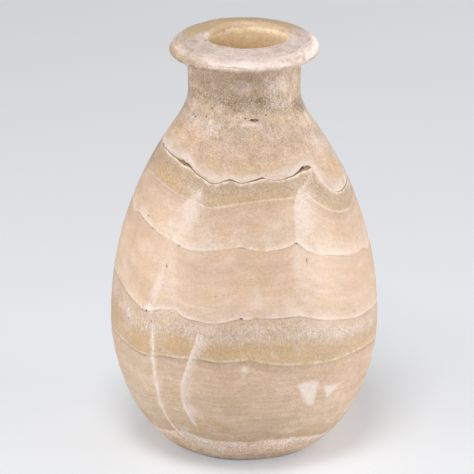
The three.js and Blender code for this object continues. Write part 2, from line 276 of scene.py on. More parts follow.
HONEY_PATCHES = (
    (160, 166, 5, 4.5, 0.7), (170, 175, 6.5, 4, 0.8), (179, 183, 4.5, 3, 0.6), (178, 131, 6, 6, 0.55),
    (192, 140, 4, 5, 0.4), (213, 158, 8, 7, 0.5), (240, 166, 10, 4.5, 0.5), (272, 157, 8, 6, 0.2),
    (333, 163, 6, 12, 0.9), (337, 176, 3.4, 5, 0.7), (281, 120, 4, 2.4, 0.7), (292, 104, 2.4, 6, 0.7),
    (262, 196.5, 18, 2.4, 0.7), (222, 199, 9, 3.2, 0.6), (215, 203, 6, 2.0, 0.6), (258, 229, 4, 3.5, 0.6),
    (262, 231, 2.2, 2.4, 0.6), (336, 201, 14, 3.6, 0.7), (116, 306, 8, 12, 0.8), (119, 318, 5, 6, 0.6),
    (135, 243, 6, 13, 0.5), (137, 262, 6, 8, 0.5), (147, 262, 6, 7, 0.4), (139, 336, 10, 6, 0.9),
    (137, 347, 9, 3.4, 1.0), (175, 338, 11, 6, 0.9), (178, 350, 10, 4.5, 1.0), (191, 348, 4, 6, 0.7),
    (226, 350, 12, 5, 0.8), (213, 354, 6, 4, 0.6), (242, 351, 8, 4, 0.5), (171, 393, 7, 8, 0.5),
    (172, 412, 4, 8, 0.4), (210, 424, 10, 4, 0.7), (197, 428, 6, 4, 0.9), (220, 430, 9, 2.6, 0.7),
    (177, 440, 5, 3.4, 0.7), (152, 418, 5, 5, 0.7), (285, 348, 8, 3.4, 0.9), (304, 345, 6, 3, 0.5),
    (250, 361, 6, 3, 0.5), (274, 363, 8, 2.2, 0.7), (150, 298, 7, 7, 0.4), (143, 286, 4, 9, 0.4),
    (207, 310, 8, 3, 0.4), (137, 378, 5, 10, 0.35), (244, 407, 9, 4, 0.45), (257, 414, 8, 4, 0.4),
    (262, 420, 11, 3.4, 0.4), (184, 268, 4, 12, 0.25), (243, 268, 12, 8, 0.3), (252, 284, 12, 6, 0.35),
    (245, 451, 10, 2.4, 0.5), (266, 454, 10, 1.8, 0.4), (300, 420, 9, 4, 0.3), (290, 258, 4, 3, 0.3),
    (240, 103, 9, 3, 0.35), (147, 205, 8, 6, 0.4), (160, 216, 7, 6, 0.35), (200, 88, 7, 8, 0.6),
)
GREY_AND_SHADE_PATCHES = (
    (244, 139, 7, 4.5, 0.7), (236, 131, 6, 3.5, 0.5), (262, 146, 7, 4, 0.4), (222, 142, 6, 5, 0.35),
    (300, 137, 8, 4.5, 0.5), (310, 128, 4, 6, 0.4), (283, 142, 7, 4, 0.35), (300, 151, 6, 5, 0.35),
    (250, 190, 22, 3.4, 0.6), (285, 188, 9, 3.6, 0.6), (214, 190, 6, 2.6, 0.6), (198, 181, 5, 4, 0.6),
    (184, 173, 5, 3, 0.5), (176, 163, 4.5, 3.4, 0.6), (169, 158, 4, 3.4, 0.6), (309, 183, 6, 6, 0.7),
    (325, 196, 8, 3, 0.6), (132, 245, 3, 8, 0.4), (131, 256, 3, 5, 0.4), (195, 266, 12, 7, 0.35),
    (205, 262, 10, 4, 0.3), (213, 268, 5, 9, 0.25), (190, 292, 7, 6, 0.25), (281, 266, 8, 5, 0.35),
    (246, 259, 7, 3, 0.4), (298, 329, 13, 3.4, 0.4), (242, 332, 10, 3.4, 0.45), (217, 331, 9, 3, 0.5),
    (181, 323, 8, 2.6, 0.5), (129, 305, 4, 9, 0.4), (122, 291, 2.6, 9, 0.5), (152, 318, 6, 2, 0.5),
    (186, 391, 3, 12, 0.3), (150, 400, 5, 6, 0.4), (158, 413, 7, 5, 0.5), (166, 423, 7, 4, 0.5),
    (285, 421, 12, 4, 0.5), (169, 438, 6, 3, 0.6), (265, 432, 12, 4, 0.6), (235, 433, 10, 3, 0.6),
    (300, 408, 6, 4, 0.3), (272, 393, 10, 5, 0.3), (292, 446, 12, 2, 0.3),
    # Stain and painted shade on the neck's left at (203, 84) and (214, 91), and a painted shadow under the
    # lip at (246, 76.5)
    (223, 104, 9, 4, 0.4), (245, 99, 12, 2.6, 0.7), (203, 84, 9, 8, 1.0), (214, 91, 8, 4, 0.6),
    (252, 100, 14, 2.4, 0.7), (262, 137, 8, 5, 0.4), (232, 146, 7, 4, 0.4), (246, 76.5, 14, 2.4, 0.8),
    # Painted shade on the foot's lower left at (184, 448) and (206, 457)
    (184, 448, 12, 4, 1.2), (206, 457, 12, 3, 1.2), (195, 78, 5, 5, 0.8), (345, 190, 4, 6, 0.4),
)

# Small pits: pixel of the middle, half width, half height and depth in mm, and how dark it is inside
PITS = (
    (254.4, 120.8, 3.0, 0.9, 1.6, 0.85), (244.8, 119, 1.2, 0.6, 0.8, 0.9), (266, 115.6, 0.7, 0.5, 0.6, 0.9),
    (174.8, 132.4, 0.7, 0.9, 0.6, 0.8), (296.6, 116.7, 0.7, 0.9, 0.5, 0.5), (278, 133.6, 0.6, 0.5, 0.5, 0.7),
    (265.5, 176.2, 0.7, 0.7, 0.7, 1.0), (230, 231.8, 0.9, 0.5, 0.4, 0.6), (147.9, 215.5, 0.7, 0.8, 0.5, 0.8),
    (166.2, 266.6, 0.6, 1.3, 0.5, 0.9), (152, 228.6, 1.3, 0.6, 0.4, 0.6), (242, 403.7, 0.7, 0.6, 0.4, 0.5),
    (269.6, 398.6, 0.8, 0.6, 0.4, 0.5), (141.8, 309.2, 0.8, 0.9, 0.9, 1.0), (145.6, 311, 1.3, 0.7, 0.9, 1.0),
    (211.9, 109, 1.3, 1.2, 0.5, 0.5), (193.4, 114, 0.7, 0.8, 0.5, 0.9), (194.8, 116.5, 1.0, 0.7, 0.5, 0.8),
    (309.3, 126.4, 0.9, 1.4, 0.5, 0.7), (306.6, 261, 0.6, 1.8, 0.4, 0.6), (178.4, 246, 1.2, 0.6, 0.5, 0.7),
    (296.2, 243.9, 1.9, 0.6, 0.6, 0.9), (241, 319.3, 1.4, 0.6, 0.6, 0.8), (127.7, 318.8, 0.6, 1.6, 0.5, 0.8),
    (150.7, 321.4, 0.9, 1.0, 0.5, 0.8), (128.1, 307, 0.7, 0.7, 0.5, 0.7), (142.7, 198.3, 0.7, 0.7, 0.4, 0.6),
    (215.5, 297.3, 0.6, 0.5, 0.4, 0.4), (205.7, 117, 0.8, 0.8, 0.4, 0.6), (270.8, 133, 0.5, 0.5, 0.4, 0.6),
    (206.7, 258.7, 0.9, 0.6, 0.4, 0.5), (253.6, 259, 0.9, 0.6, 0.4, 0.4), (130.4, 257, 1.0, 1.1, 0.4, 0.6),
    (162.2, 144, 1.4, 1.1, 1.2, 1.0),
)
# How much of a pit is flat, how ragged its rim is, how far round it the mesh is divided more finely, and how
# deep under the smooth outside a point still counts as on it
PIT_FLAT_SHARE = 0.3
PIT_RAGGEDNESS = 0.8
PIT_MARGIN = 1.2
SKIN_DEPTH = 3

# The middles of a speckled band and of a fibrous one, as heights in the bedding, and how far both reach
SPECKLED_BED = 95
FIBROUS_BED = 94
BAND_REACH = 7

# How grainy the stone is at each height in the bedding
GRAIN = (
    (0, 1.3), (20, 1.2), (24, 0.42), (50, 0.42), (72, 0.45), (92, 0.65), (101, 0.5), (103, 0.36), (140, 0.36),
    (144, 0.42), (163, 0.45), (167, 0.8), (176, 0.8), (178, 0.45), (184, 0.45), (188, 0.72), (199, 0.72),
    (203, 0.9), (212, 1.05), (216, 1.5), (220, 1.3), (223, 1.0), (236, 1.0),
)
LIP_GRAIN = 0.65
MOUTH_GRAIN = 0.4

# How strongly larger clouds lighten and darken it at each height in the bedding
CLOUDS = (
    (0, 0.7), (20, 0.6), (24, 0.45), (60, 0.35), (76, 0.25), (100, 0.2), (103, 0.15), (163, 0.15),
    (168, 0.4), (185, 0.4), (190, 0.8), (200, 0.8), (213, 1.2), (220, 1.3), (224, 1.0), (236, 0.8),
)

# Patches on the lip, in the same way, but with the half sizes across the lip and round it, in mm. They
# lie on a level this far under the top.
LIP_LEVEL_DROP = 1.2
LIP_HONEY = (
    (190, 33, 4, 10, 1.0), (199, 29, 5, 10, 1.0), (212, 25, 6, 8, 0.9), (226, 21.5, 8, 3.4, 0.6),
    (246, 19.6, 12, 2.2, 0.6), (268, 21, 9, 2.6, 0.6), (284, 25.5, 5, 4, 0.6), (293, 34.5, 4.4, 3.6, 0.7),
    (172.5, 49, 4.4, 3, 0.6), (178, 55, 4, 2.4, 0.6), (186, 60, 6, 2, 0.3), (303.5, 58, 7, 2.2, 0.6),
    (312, 53, 4, 2.4, 0.5), (199, 43.5, 4, 4, 0.4), (316, 44, 3, 2.4, 0.4),
)
LIP_GREY = (
    (195, 42.5, 2.6, 5, 0.7), (189, 48, 3, 4.4, 0.6), (195, 53, 4, 3, 0.3), (205, 41.7, 1.4, 1.4, 1.2),
    (279, 50.5, 4, 3.6, 0.5), (291, 47, 4, 4, 0.4), (308, 53, 4, 3, 0.9), (298, 36, 3, 3, 0.4),
    (309, 38.5, 1.4, 4.4, 0.8), (304, 46.2, 2, 4, 0.5), (287, 51.7, 1.2, 1.2, 1.0),
    (248, 52.5, 0.8, 1.4, 0.6), (183, 44.5, 3, 1.4, 0.6), (210, 50, 4, 3, 0.3), (297, 53.5, 2.4, 6, 0.5),
    (176.5, 38, 2.4, 1.6, 0.7),
)
LIP_CHALK = (
    (179.5, 44, 2.2, 3.4, 1.0), (184, 48.6, 2.0, 3, 0.8), (200, 38.2, 1.6, 9, 0.9), (190, 38.8, 1.2, 5, 0.7),
    (205, 36.5, 1.4, 4, 0.8), (305, 41.5, 2.4, 6, 0.4), (300, 40.5, 1.6, 5, 0.6), (294, 51, 0.7, 12, 1.0),
    (311, 46, 3, 2.6, 0.2), (315, 36, 6, 2.4, 0.3), (296, 30, 1.4, 5, 0.6), (268, 58, 8, 4, 0.5),
    (235, 61, 9, 4, 0.3), (212, 42.8, 1.2, 2.4, 0.6),
)

# The ledge worn into the lip behind its left side, between these angles and radii, and its depth
LEDGE_ANGLES = (-158, -86)
LEDGE_RADII = (23.5, 38.5)
LEDGE_DEPTH = 1.1
# In degrees: how far its near end wanders, half the width of the step, and how far its far end fades
LEDGE_WANDER = 5
LEDGE_STEP = 1.2
LEDGE_FADE = 20

# The lip's edge is worn along the ledge and has a flat chip behind its right side. Both deepen between
# these radii.
WORN_EDGE_RADII = (36, 42)
WORN_EDGE_DEPTH = 0.9
CHIP_ANGLE = 125
CHIP_SPREAD = 22
CHIP_DEPTH = 0.8

# Waves of the hand-worked surface: their size and height. The surface is sunk this far, to keep them inside
# the solid, and they hollow the base by no more than this.
WAVES = ((26, 0.22), (9, 0.1), (3.2, 0.05))
RELIEF_SINK = 0.36
BASE_RELIEF = 0.3
# Another kind of noise is read this many forms further on
NOISE_KIND_STEP = 17.3

# The earth: points this close are joined, and its crumbs have this size and depth
MERGE_DISTANCE = 0.01
CRUMB_SIZE = 0.9
CRUMB_DEPTH = 0.12

# The studio, in metres: how far the floor reaches, how much brighter the camera sees it, how strong the light
# from all round is, how bright the camera sees the backdrop, how wide the softboxes shine, and the softboxes.
# Each has a name, an angle, an elevation, a distance, a width and height, and a power in watts.
FLOOR_REACH = 4
FLOOR_GLOW = 0.3
LIGHT_ALL_ROUND = 0.2
BACKDROP_BRIGHTNESS = 0.9
SOFTBOX_SPREAD = math.radians(140)
SOFTBOXES = (
    ("left_softbox", -68, 6, 2.6, (1.4, 0.6), 22.8),
    ("right_softbox", 73, 3.5, 2.6, (1.4, 0.4), 27.4),
    ("top_softbox", -14, 66, 1.3, (0.5, 0.5), 5.3),
    ("back_softbox", 145, 14, 2.6, (1.4, 0.6), 9),
)


def srgb(red, green, blue):
    """A display colour from 0 to 255 as the linear colour that a shader takes"""
    def linear(level):
        level /= 255
        return level / 12.92 if level <= 0.04045 else ((level + 0.055) / 1.055) ** 2.4
    return (linear(red), linear(green), linear(blue), 1)


# Colours of the stone; a few of them also paint highlights and shade
SPAR_WHITE = srgb(245, 228, 217)
HIGHLIGHT_CREAM = srgb(246, 226, 205)
CHALK_AND_SHEEN = srgb(237, 216, 203)
PALE_CREAM = srgb(231, 204, 182)
CREAM = srgb(225, 195, 168)
ROSE_CREAM = srgb(222, 190, 163)
ROSE_TAN = srgb(214, 181, 155)
PINK_GREY = srgb(211, 188, 170)
TAN = srgb(212, 184, 158)
DARK_TAN = srgb(202, 174, 148)
HONEY = srgb(206, 176, 140)
DEEP_HONEY = srgb(203, 169, 126)
OLIVE = srgb(194, 167, 138)
STAIN_AND_SHADE_GREY = srgb(184, 159, 135)
FOOT_GREY = srgb(206, 188, 171)
FOOT_CONTACT_SHADE = srgb(126, 107, 89)
PALE_TAN = srgb(219, 191, 165)
ASH = srgb(217, 203, 192)
MOSS = srgb(211, 196, 170)
NECK_TAN = srgb(190, 164, 136)
DARK_OLIVE = srgb(172, 149, 123)
LIP_WHITE = srgb(246, 227, 219)
LIP_ROSE = srgb(230, 205, 192)
LIP_TAN = srgb(212, 184, 150)
LIP_GOLD = srgb(221, 191, 143)
LIP_STAIN_AND_SHADE = srgb(174, 149, 119)
PORE_BROWN = srgb(128, 104, 80)
MOUTH_GLOW = srgb(255, 235, 198)
MOUTH_DEEP = srgb(240, 206, 154)
MOUTH_LIGHT = srgb(255, 214, 163)
SEAM_BROWN = srgb(146, 120, 97)
PIT_BROWN = srgb(128, 104, 82)
EARTH = srgb(182, 150, 116)
EARTH_PALE = srgb(218, 190, 156)
EARTH_DARK = srgb(134, 106, 80)
FLOOR_PALE = srgb(212, 214, 218)
FLOOR_PALER = srgb(217, 219, 222)
FLOOR_LIGHT = srgb(240, 243, 248)

# The layers from the foot up: height in the bedding, and the colour there. The first is painted shade where
# the foot meets the floor.
LOWER_LAYERS = (
    (0, FOOT_CONTACT_SHADE), (4, STAIN_AND_SHADE_GREY), (9, FOOT_GREY), (13, TAN), (19.6, PALE_CREAM), (21.4, CHALK_AND_SHEEN),
    (22.4, OLIVE), (31, TAN), (44, PALE_TAN), (58, ROSE_CREAM), (71, ROSE_TAN), (75.5, OLIVE), (76.3, HONEY),
    (86, HONEY), (92, PINK_GREY), (98, PALE_TAN), (101.6, TAN), (102.3, PALE_CREAM), (107, CREAM),
    (134, ROSE_CREAM), (141.5, ROSE_CREAM), (142.3, PALE_CREAM), (151, CREAM), (158, ROSE_CREAM),
    (164.5, ROSE_TAN), (165.6, PALE_CREAM), (166.3, HONEY), (171, DARK_TAN), (176.7, OLIVE),
    (177.3, CHALK_AND_SHEEN), (181, CHALK_AND_SHEEN), (186, CREAM),
)
UPPER_LAYERS = (
    (186, CREAM), (190, ROSE_CREAM), (195, ROSE_TAN), (201, PINK_GREY), (206, DARK_TAN), (209, CREAM),
    (212, DARK_TAN), (215, DARK_OLIVE), (219.6, DARK_OLIVE), (220.8, OLIVE), (223, NECK_TAN),
    (229, STAIN_AND_SHADE_GREY), (234, NECK_TAN),
)
# The upper layers take over from the lower ones here
UPPER_START = 185


def eased_larger(a, b, size):
    """The larger of two radii, eased into each other where they come closer than the given size"""
    near = np.clip(size - np.abs(a - b), 0, None) / size
    return np.maximum(a, b) + near * near * size / 4


def lower_radius(share, disc, full):
    """Radius of the lower half of an egg at a share of its height"""
    return disc + (full - disc) * (1 - (1 - np.clip(share, 0, 1)) ** 2) ** LOWER_POWER


def upper_radius(rise, reach, full, neck):
    """Radius of the upper half of an egg that a neck cuts off"""
    left = np.clip(1 - (rise / reach) ** 2, 0, None)
    return eased_larger(full * left ** UPPER_POWER, neck, NECK_JOIN_SPREAD)


def outer_radius(height):
    """Radius of the outside at heights from the foot to the underside of the lip"""
    height = np.asarray(height, float)
    rise = np.clip(height - BELLY_HEIGHT, 0, None)
    share = np.clip(rise / (LIP_UNDERSIDE - BELLY_HEIGHT), 0, 1)
    neck = NECK_RADIUS + NECK_FLARE * share ** NECK_FLARE_POWER
    upper = upper_radius(rise, SHOULDER_REACH, BELLY_RADIUS, neck)
    lower = lower_radius(height / BELLY_HEIGHT, BASE_RADIUS, BELLY_RADIUS)
    return np.where(height < BELLY_HEIGHT, lower, upper)


def hollow_radius(height):
    """Radius of the hollow at heights from its floor to the bore of the neck"""
    rise = np.clip(height - BELLY_HEIGHT, 0, None)
    full = BELLY_RADIUS - BELLY_WALL
    share = (height - FLOOR_THICKNESS) / (BELLY_HEIGHT - FLOOR_THICKNESS)
    upper = upper_radius(rise, HOLLOW_REACH, full, MOUTH_RADIUS)
    return np.where(height < BELLY_HEIGHT, lower_radius(share, FLOOR_RADIUS, full), upper)


FORWARD = np.array((0, math.cos(VIEW_ELEVATION), -math.sin(VIEW_ELEVATION)))
UPWARD = np.array((0, math.sin(VIEW_ELEVATION), math.cos(VIEW_ELEVATION)))
CAMERA_PLACE = np.array((0, 0, VIEW_HEIGHT)) - FORWARD * VIEW_DISTANCE


def add_object(name, data):
    thing = bpy.data.objects.new(name, data)
    bpy.context.scene.collection.objects.link(thing)
    return thing


def add_camera():
    data = bpy.data.cameras.new("camera")
    data.sensor_width = SENSOR_WIDTH
    data.lens = FOCAL_PIXELS / FRAME_PIXELS * SENSOR_WIDTH
    data.shift_x = (FRAME_PIXELS / 2 - MIDDLE_PIXEL[0]) / FRAME_PIXELS
    data.shift_y = (MIDDLE_PIXEL[1] - FRAME_PIXELS / 2) / FRAME_PIXELS
    camera = add_object("camera", data)
    camera.location = CAMERA_PLACE * MM
    camera.rotation_euler = (math.pi / 2 - VIEW_ELEVATION, 0, 0)
    bpy.context.scene.camera = camera


def rays(pixels):
    """The directions in which the camera sees these pixels"""
    x, y = np.array(pixels, float).T[:2]
    across = (x - MIDDLE_PIXEL[0]) / FOCAL_PIXELS
    up = (MIDDLE_PIXEL[1] - y) / FOCAL_PIXELS
    return FORWARD + np.outer(across, (1, 0, 0)) + np.outer(up, UPWARD)


def on_vase(pixels):
    """Angles and heights of the places on the outside that the camera sees at these pixels"""
    reach = np.linspace(VIEW_DISTANCE - SEARCH_REACH, VIEW_DISTANCE + SEARCH_REACH, SEARCH_POINTS)
    points = CAMERA_PLACE + rays([p[:2] for p in pixels])[:, None, :] * reach[None, :, None]
    height = points[..., 2]
    clear = np.hypot(points[..., 0], points[..., 1]) - outer_radius(np.clip(height, 0, LIP_UNDERSIDE))
    clear[(height < 0) | (height > LIP_UNDERSIDE)] = BELLY_RADIUS
    inside = clear < 0
    first = np.where(inside.any(1), inside.argmax(1), clear.argmin(1))
    seen = points[np.arange(len(first)), first]
    return np.degrees(np.arctan2(seen[:, 0], -seen[:, 1])), seen[:, 2]


def on_lip(pixels):
    """Places on the level of the lip that the camera sees at these pixels"""
    directions = rays([p[:2] for p in pixels])
    reach = (OVERALL_HEIGHT - LIP_LEVEL_DROP - CAMERA_PLACE[2]) / directions[:, 2]
    return (CAMERA_PLACE + directions * reach[:, None])[:, :2]


front = np.linspace(-FRONT_REACH, FRONT_REACH, FRONT_COLUMNS + 1)
back = np.linspace(FRONT_REACH, 360 - FRONT_REACH, BACK_COLUMNS + 2)[1:-1]
ANGLES = np.concatenate((front, back))
TURN = np.radians(ANGLES)


def round_the_vase(seen, behind, soften=0.7):
    """Values for every column of a line given by pixels in front and by angles behind. The first is the
    height, and any others follow it."""
    seen_angles, heights = on_vase(seen)
    extra = np.array(seen, float)[:, 2:]
    behind = np.array(behind, float)
    at = np.concatenate((seen_angles % 360, behind[:, 0] % 360))
    values = [np.concatenate((heights, behind[:, 1]))]
    values += [np.concatenate((extra[:, i], behind[:, i + 2])) for i in range(extra.shape[1])]
    order = np.argsort(at)
    shifts = np.linspace(-soften, soften, 5)
    return [
        np.mean([np.interp((ANGLES + s) % 360, at[order], v[order], period=360) for s in shifts], axis=0)
        for v in values
    ]


def smooth_noise(points, size, kind=0):
    """Noise from -1 to 1 at each point, with forms of this size in mm. Another kind gives another pattern."""
    flat = np.asarray(points, float).reshape(-1, 3) / size + kind * NOISE_KIND_STEP
    return np.array([noise.noise(p) for p in flat.tolist()]).reshape(points.shape[:-1])


def smoothstep(value, low, high):
    """An eased change from 0 to 1 between these two values, of which the first may be the larger"""
    share = np.clip((value - low) / (high - low), 0, 1)
    return share * share * (3 - 2 * share)


RING = np.stack((np.sin(TURN), -np.cos(TURN), 0 * TURN), axis=-1) * BELLY_RADIUS

parting_low, opening = round_the_vase(PARTING, PARTING_BEHIND)
parting_low = parting_low + 0.3 * smooth_noise(RING, 4) + 0.15 * smooth_noise(RING, 1.6)
opening = np.clip(opening * (1 + 0.35 * smooth_noise(RING, 3, 1)), 0, None)
steepness = np.hypot(1, np.gradient(parting_low, TURN * outer_radius(parting_low)))
parting_high = parting_low + np.maximum(opening, LEAST_OPENING) * steepness
chalk_top = round_the_vase(CHALK_TOP, CHALK_TOP_BEHIND, 1.5)[0]
golden_edge = round_the_vase(GOLDEN_EDGE, GOLDEN_EDGE_BEHIND, 1)[0]
middle_seam, middle_dark = round_the_vase(MIDDLE_SEAM, MIDDLE_SEAM_BEHIND)
middle_seam = middle_seam + 0.3 * smooth_noise(RING, 3.5, 2)
low_seam, low_dark = round_the_vase(LOW_SEAM, LOW_SEAM_BEHIND)
low_seam = low_seam + 0.3 * smooth_noise(RING, 3, 3)
honey_floor, honey_dark = round_the_vase(HONEY_FLOOR, HONEY_FLOOR_BEHIND)
white_foot = round_the_vase(WHITE_FOOT, WHITE_FOOT_BEHIND, 1.5)[0]
neck_edge = round_the_vase(NECK_EDGE, NECK_EDGE_BEHIND, 3)[0]
golden_line = np.clip(golden_edge, middle_seam + LEAST_LAYER, parting_low - LEAST_LAYER)
chalk_line = np.maximum(chalk_top, parting_high + LEAST_LAYER)

KNOT_BEDS = (
    0, BED_WHITE_FOOT, BED_HONEY_FLOOR, BED_LOW_SEAM, BED_MIDDLE_SEAM, BED_GOLDEN_EDGE, BED_PARTING,
    BED_CHALK_TOP, BED_NECK_EDGE, BED_NECK_TOP,
)
KNOTS = (
    0 * TURN, white_foot, honey_floor, low_seam, middle_seam, golden_line, parting_low, chalk_line, neck_edge,
    0 * TURN + BED_NECK_TOP,
)


def height_in_vase(bed):
    """Heights round the vase of the layer at this height in the bedding"""
    knot = min(max(np.searchsorted(KNOT_BEDS, bed, side="right") - 1, 0), len(KNOT_BEDS) - 2)
    share = (bed - KNOT_BEDS[knot]) / (KNOT_BEDS[knot + 1] - KNOT_BEDS[knot])
    low = parting_high if KNOT_BEDS[knot] == BED_PARTING else KNOTS[knot]
    if knot == 0:
        share = share ** FOOT_CROWDING
    return low + (KNOTS[knot + 1] - low) * share


OUTSIDE, LIP, HOLLOW, BASE = range(4)


class Rows:
    """Rows of the stone's surface, from the middle of the base up the outside and down the hollow. Each holds
    its radius, height and height in the bedding at every column, and how far it is sunk into the parting."""

    def __init__(self):
        self.radius, self.height, self.bed, self.sunk, self.zone = [], [], [], [], []

    def add(self, radius, height, bed, zone, sunk=0.0):
        for rows, value in zip((self.radius, self.height, self.bed, self.sunk), (radius, height, bed, sunk)):
            rows.append(np.broadcast_to(value, ANGLES.shape).astype(float))
        self.zone.append(zone)


def base_rows(rows):
    for radius in BASE_RINGS:
        rows.add(radius, BASE_HOLLOW, 0, BASE)
    rows.add(BASE_SLOPE_RADIUS, BASE_HOLLOW / 2, 0, BASE)
    rows.add(BASE_RADIUS - 2 * FOOT_ROUND, 0, 0, BASE)
    rows.add(BASE_RADIUS - FOOT_ROUND, 0, 0, BASE)
    rows.add(BASE_RADIUS - FOOT_ROUND * 0.3, FOOT_ROUND * 0.12, 0, BASE)


def outer_rows(rows):
    near_seam = (-2, -0.9, -0.35, 0, 0.35, 0.9, 2)
    seam_margin = 2.8
    near_parting = (0.18, 0.5, 1.1, 2, 3.4)
    parting_margin = 4.6
    across_parting = ((0, 0), (0.1, 0.55), (0.3, 0.95), (0.5, 1), (0.72, 0.95), (0.9, 0.55), (1, 0))
    seams = (BED_HONEY_FLOOR, BED_LOW_SEAM, BED_MIDDLE_SEAM, BED_GOLDEN_EDGE)
    beds = list(np.arange(ROW_STEP / 3, BED_NECK_TOP, ROW_STEP))
    beds = [b for b in beds if all(abs(b - seam) > seam_margin for seam in seams)]
    beds = [b for b in beds if abs(b - BED_PARTING) > parting_margin]
    beds += [seam + step for seam in seams for step in near_seam]
    beds += [BED_PARTING + side * step for step in near_parting for side in (-1, 1)]
    for bed in sorted(b for b in beds if b < BED_PARTING):
        height = height_in_vase(bed)
        rows.add(outer_radius(height), height, bed, OUTSIDE)
    for share, sunk in across_parting:
        height = parting_low + (parting_high - parting_low) * share
        rows.add(outer_radius(height), height, BED_PARTING, OUTSIDE, sunk)
    for bed in sorted(b for b in beds if b > BED_PARTING):
        height = height_in_vase(bed)
        rows.add(outer_radius(height), height, bed, OUTSIDE)


def arc_points(centre, width, height, start, end, steps):
    """Points of an ellipse's arc, without its start"""
    turns = np.radians(np.linspace(start, end, steps + 1)[1:])
    return [(centre[0] + width * math.cos(t), centre[1] + height * math.sin(t)) for t in turns]


def mouth_offset(height):
    """How far the bore lies out at each angle, at this height"""
    share = smoothstep(height, OVERALL_HEIGHT - MOUTH_OFFSET_DEPTH, OVERALL_HEIGHT - BORE_TOP_DEPTH)
    return MOUTH_OFFSET * np.sin(TURN) * share


def mouth_edge():
    """The width and the depth of the mouth's rounded edge at every angle"""
    at, *values = np.array(sorted((angle % 360, width, depth) for angle, width, depth in MOUTH_EDGE)).T
    return [np.interp(ANGLES % 360, at, v, period=360) for v in values]


def lip_rows(rows):
    widest = LIP_UNDERSIDE + LIP_WIDEST_RISE
    neck = float(outer_radius(BED_NECK_TOP))
    shoulder = OVERALL_HEIGHT - LIP_TOP_FALL
    points = [(neck, BED_NECK_TOP)]
    points += arc_points((neck + LIP_JOIN_ROUND, BED_NECK_TOP), LIP_JOIN_ROUND, LIP_JOIN_ROUND, 180, 90, 3)
    under_start = points[-1][0]
    under_end = LIP_RADIUS - LIP_UNDER_ROUND
    points += [(under_start + (under_end - under_start) * s, LIP_UNDERSIDE) for s in (0.25, 0.5, 0.75, 1)]
    points += arc_points((under_end, widest), LIP_UNDER_ROUND, LIP_WIDEST_RISE, -90, 0, 4)
    points += arc_points((LIP_RADIUS - LIP_TOP_ROUND, widest), LIP_TOP_ROUND, shoulder - widest, 0, 90, 10)
    width, depth = mouth_edge()
    crest = MOUTH_RADIUS + mouth_offset(OVERALL_HEIGHT) + width
    outer = LIP_RADIUS - LIP_TOP_ROUND
    points += [(outer + (crest - outer) * s, shoulder + LIP_TOP_FALL * s) for s in np.linspace(0, 1, 11)[1:]]
    points += arc_points((crest, OVERALL_HEIGHT - depth), width, depth, 90, 180, 7)
    length = BED_NECK_TOP
    last = points[0]
    for radius, height in points:
        length = length + np.hypot(radius - last[0], height - last[1])
        rows.add(radius, height, length, LIP)
        last = (radius, height)


def hollow_rows(rows):
    top = OVERALL_HEIGHT - BORE_TOP_DEPTH
    for i in range(HOLLOW_ROWS + 1):
        height = top + (FLOOR_THICKNESS - top) * (1 - (1 - i / HOLLOW_ROWS) ** HOLLOW_CROWDING)
        rows.add(hollow_radius(np.array(height)) + mouth_offset(height), height, height, HOLLOW)
    for radius in FLOOR_RINGS:
        rows.add(radius, FLOOR_THICKNESS, FLOOR_THICKNESS, HOLLOW)


rows = Rows()
base_rows(rows)
outer_rows(rows)
lip_rows(rows)
hollow_rows(rows)
RADIUS, HEIGHT, BED, SUNK = (np.array(r) for r in (rows.radius, rows.height, rows.bed, rows.sunk))
ZONE = np.array(rows.zone)[:, None] + 0 * RADIUS
outside = ZONE == OUTSIDE
on_the_lip = ZONE == LIP
smooth = np.stack((RADIUS * np.sin(TURN), -RADIUS * np.cos(TURN), HEIGHT), axis=-1)

# Distance from the lower and the upper edge of the parting, which is only near on the outside
FAR_OFF = 99
from_low = np.where(outside, HEIGHT - parting_low, -FAR_OFF) / steepness
from_high = np.where(outside, HEIGHT - parting_high, FAR_OFF) / steepness
has_parting = smoothstep(opening, 0.04, 0.2)


def grid_normals(points):
    """Outward direction at each place of the grid"""
    along = np.roll(points, -1, axis=1) - np.roll(points, 1, axis=1)
    normal = np.cross(along, np.gradient(points, axis=0))
    return normal / np.maximum(np.linalg.norm(normal, axis=-1, keepdims=True), 1e-9)


def turned_from(angle):
    """Each column's angle from the given one, from -180 to 180"""
    return (ANGLES - angle + 180) % 360 - 180


def line_offset(line, heights):
    """Distance in mm round the vase to an upright line given by pixels, and the line's other values there,
    which are next to nothing past its ends"""
    angles, at = on_vase(line)
    order = np.argsort(at)
    middle = np.interp(heights, at[order], angles[order])
    arc = (ANGLES - middle + 180) % 360 - 180
    values = [np.interp(heights, at[order], v[order], left=0.01, right=0.01) for v in np.array(line).T[2:]]
    return np.radians(arc) * outer_radius(np.clip(heights, 0, LIP_UNDERSIDE)), *values


def slope_at(level):
    """How much longer the surface is than its height, near this level"""
    return math.hypot(1, float(outer_radius(level + 1) - outer_radius(level - 1)) / 2)


PATCH_EDGE = 0.75 * smooth_noise(smooth, 9, 9) + 0.5 * smooth_noise(smooth, 4, 10)
PATCH_EDGE += 0.3 * smooth_noise(smooth, 2, 11)


def patch_field(patches):
    """How strongly these soft patches lie on each place of the outside, from 0 to about 1"""
    angles, heights = on_vase(patches)
    field = np.zeros_like(RADIUS)
    for angle, level, (_, _, across, along, strength) in zip(angles, heights, patches):
        arc = np.radians(turned_from(angle)) * RADIUS
        rise = (HEIGHT - level) * slope_at(level)
        reach = np.hypot(arc / across, rise / along) + PATCH_EDGE
        field = np.maximum(field, strength * (1 - smoothstep(reach, 0.3, 1.7)))
    return field * outside


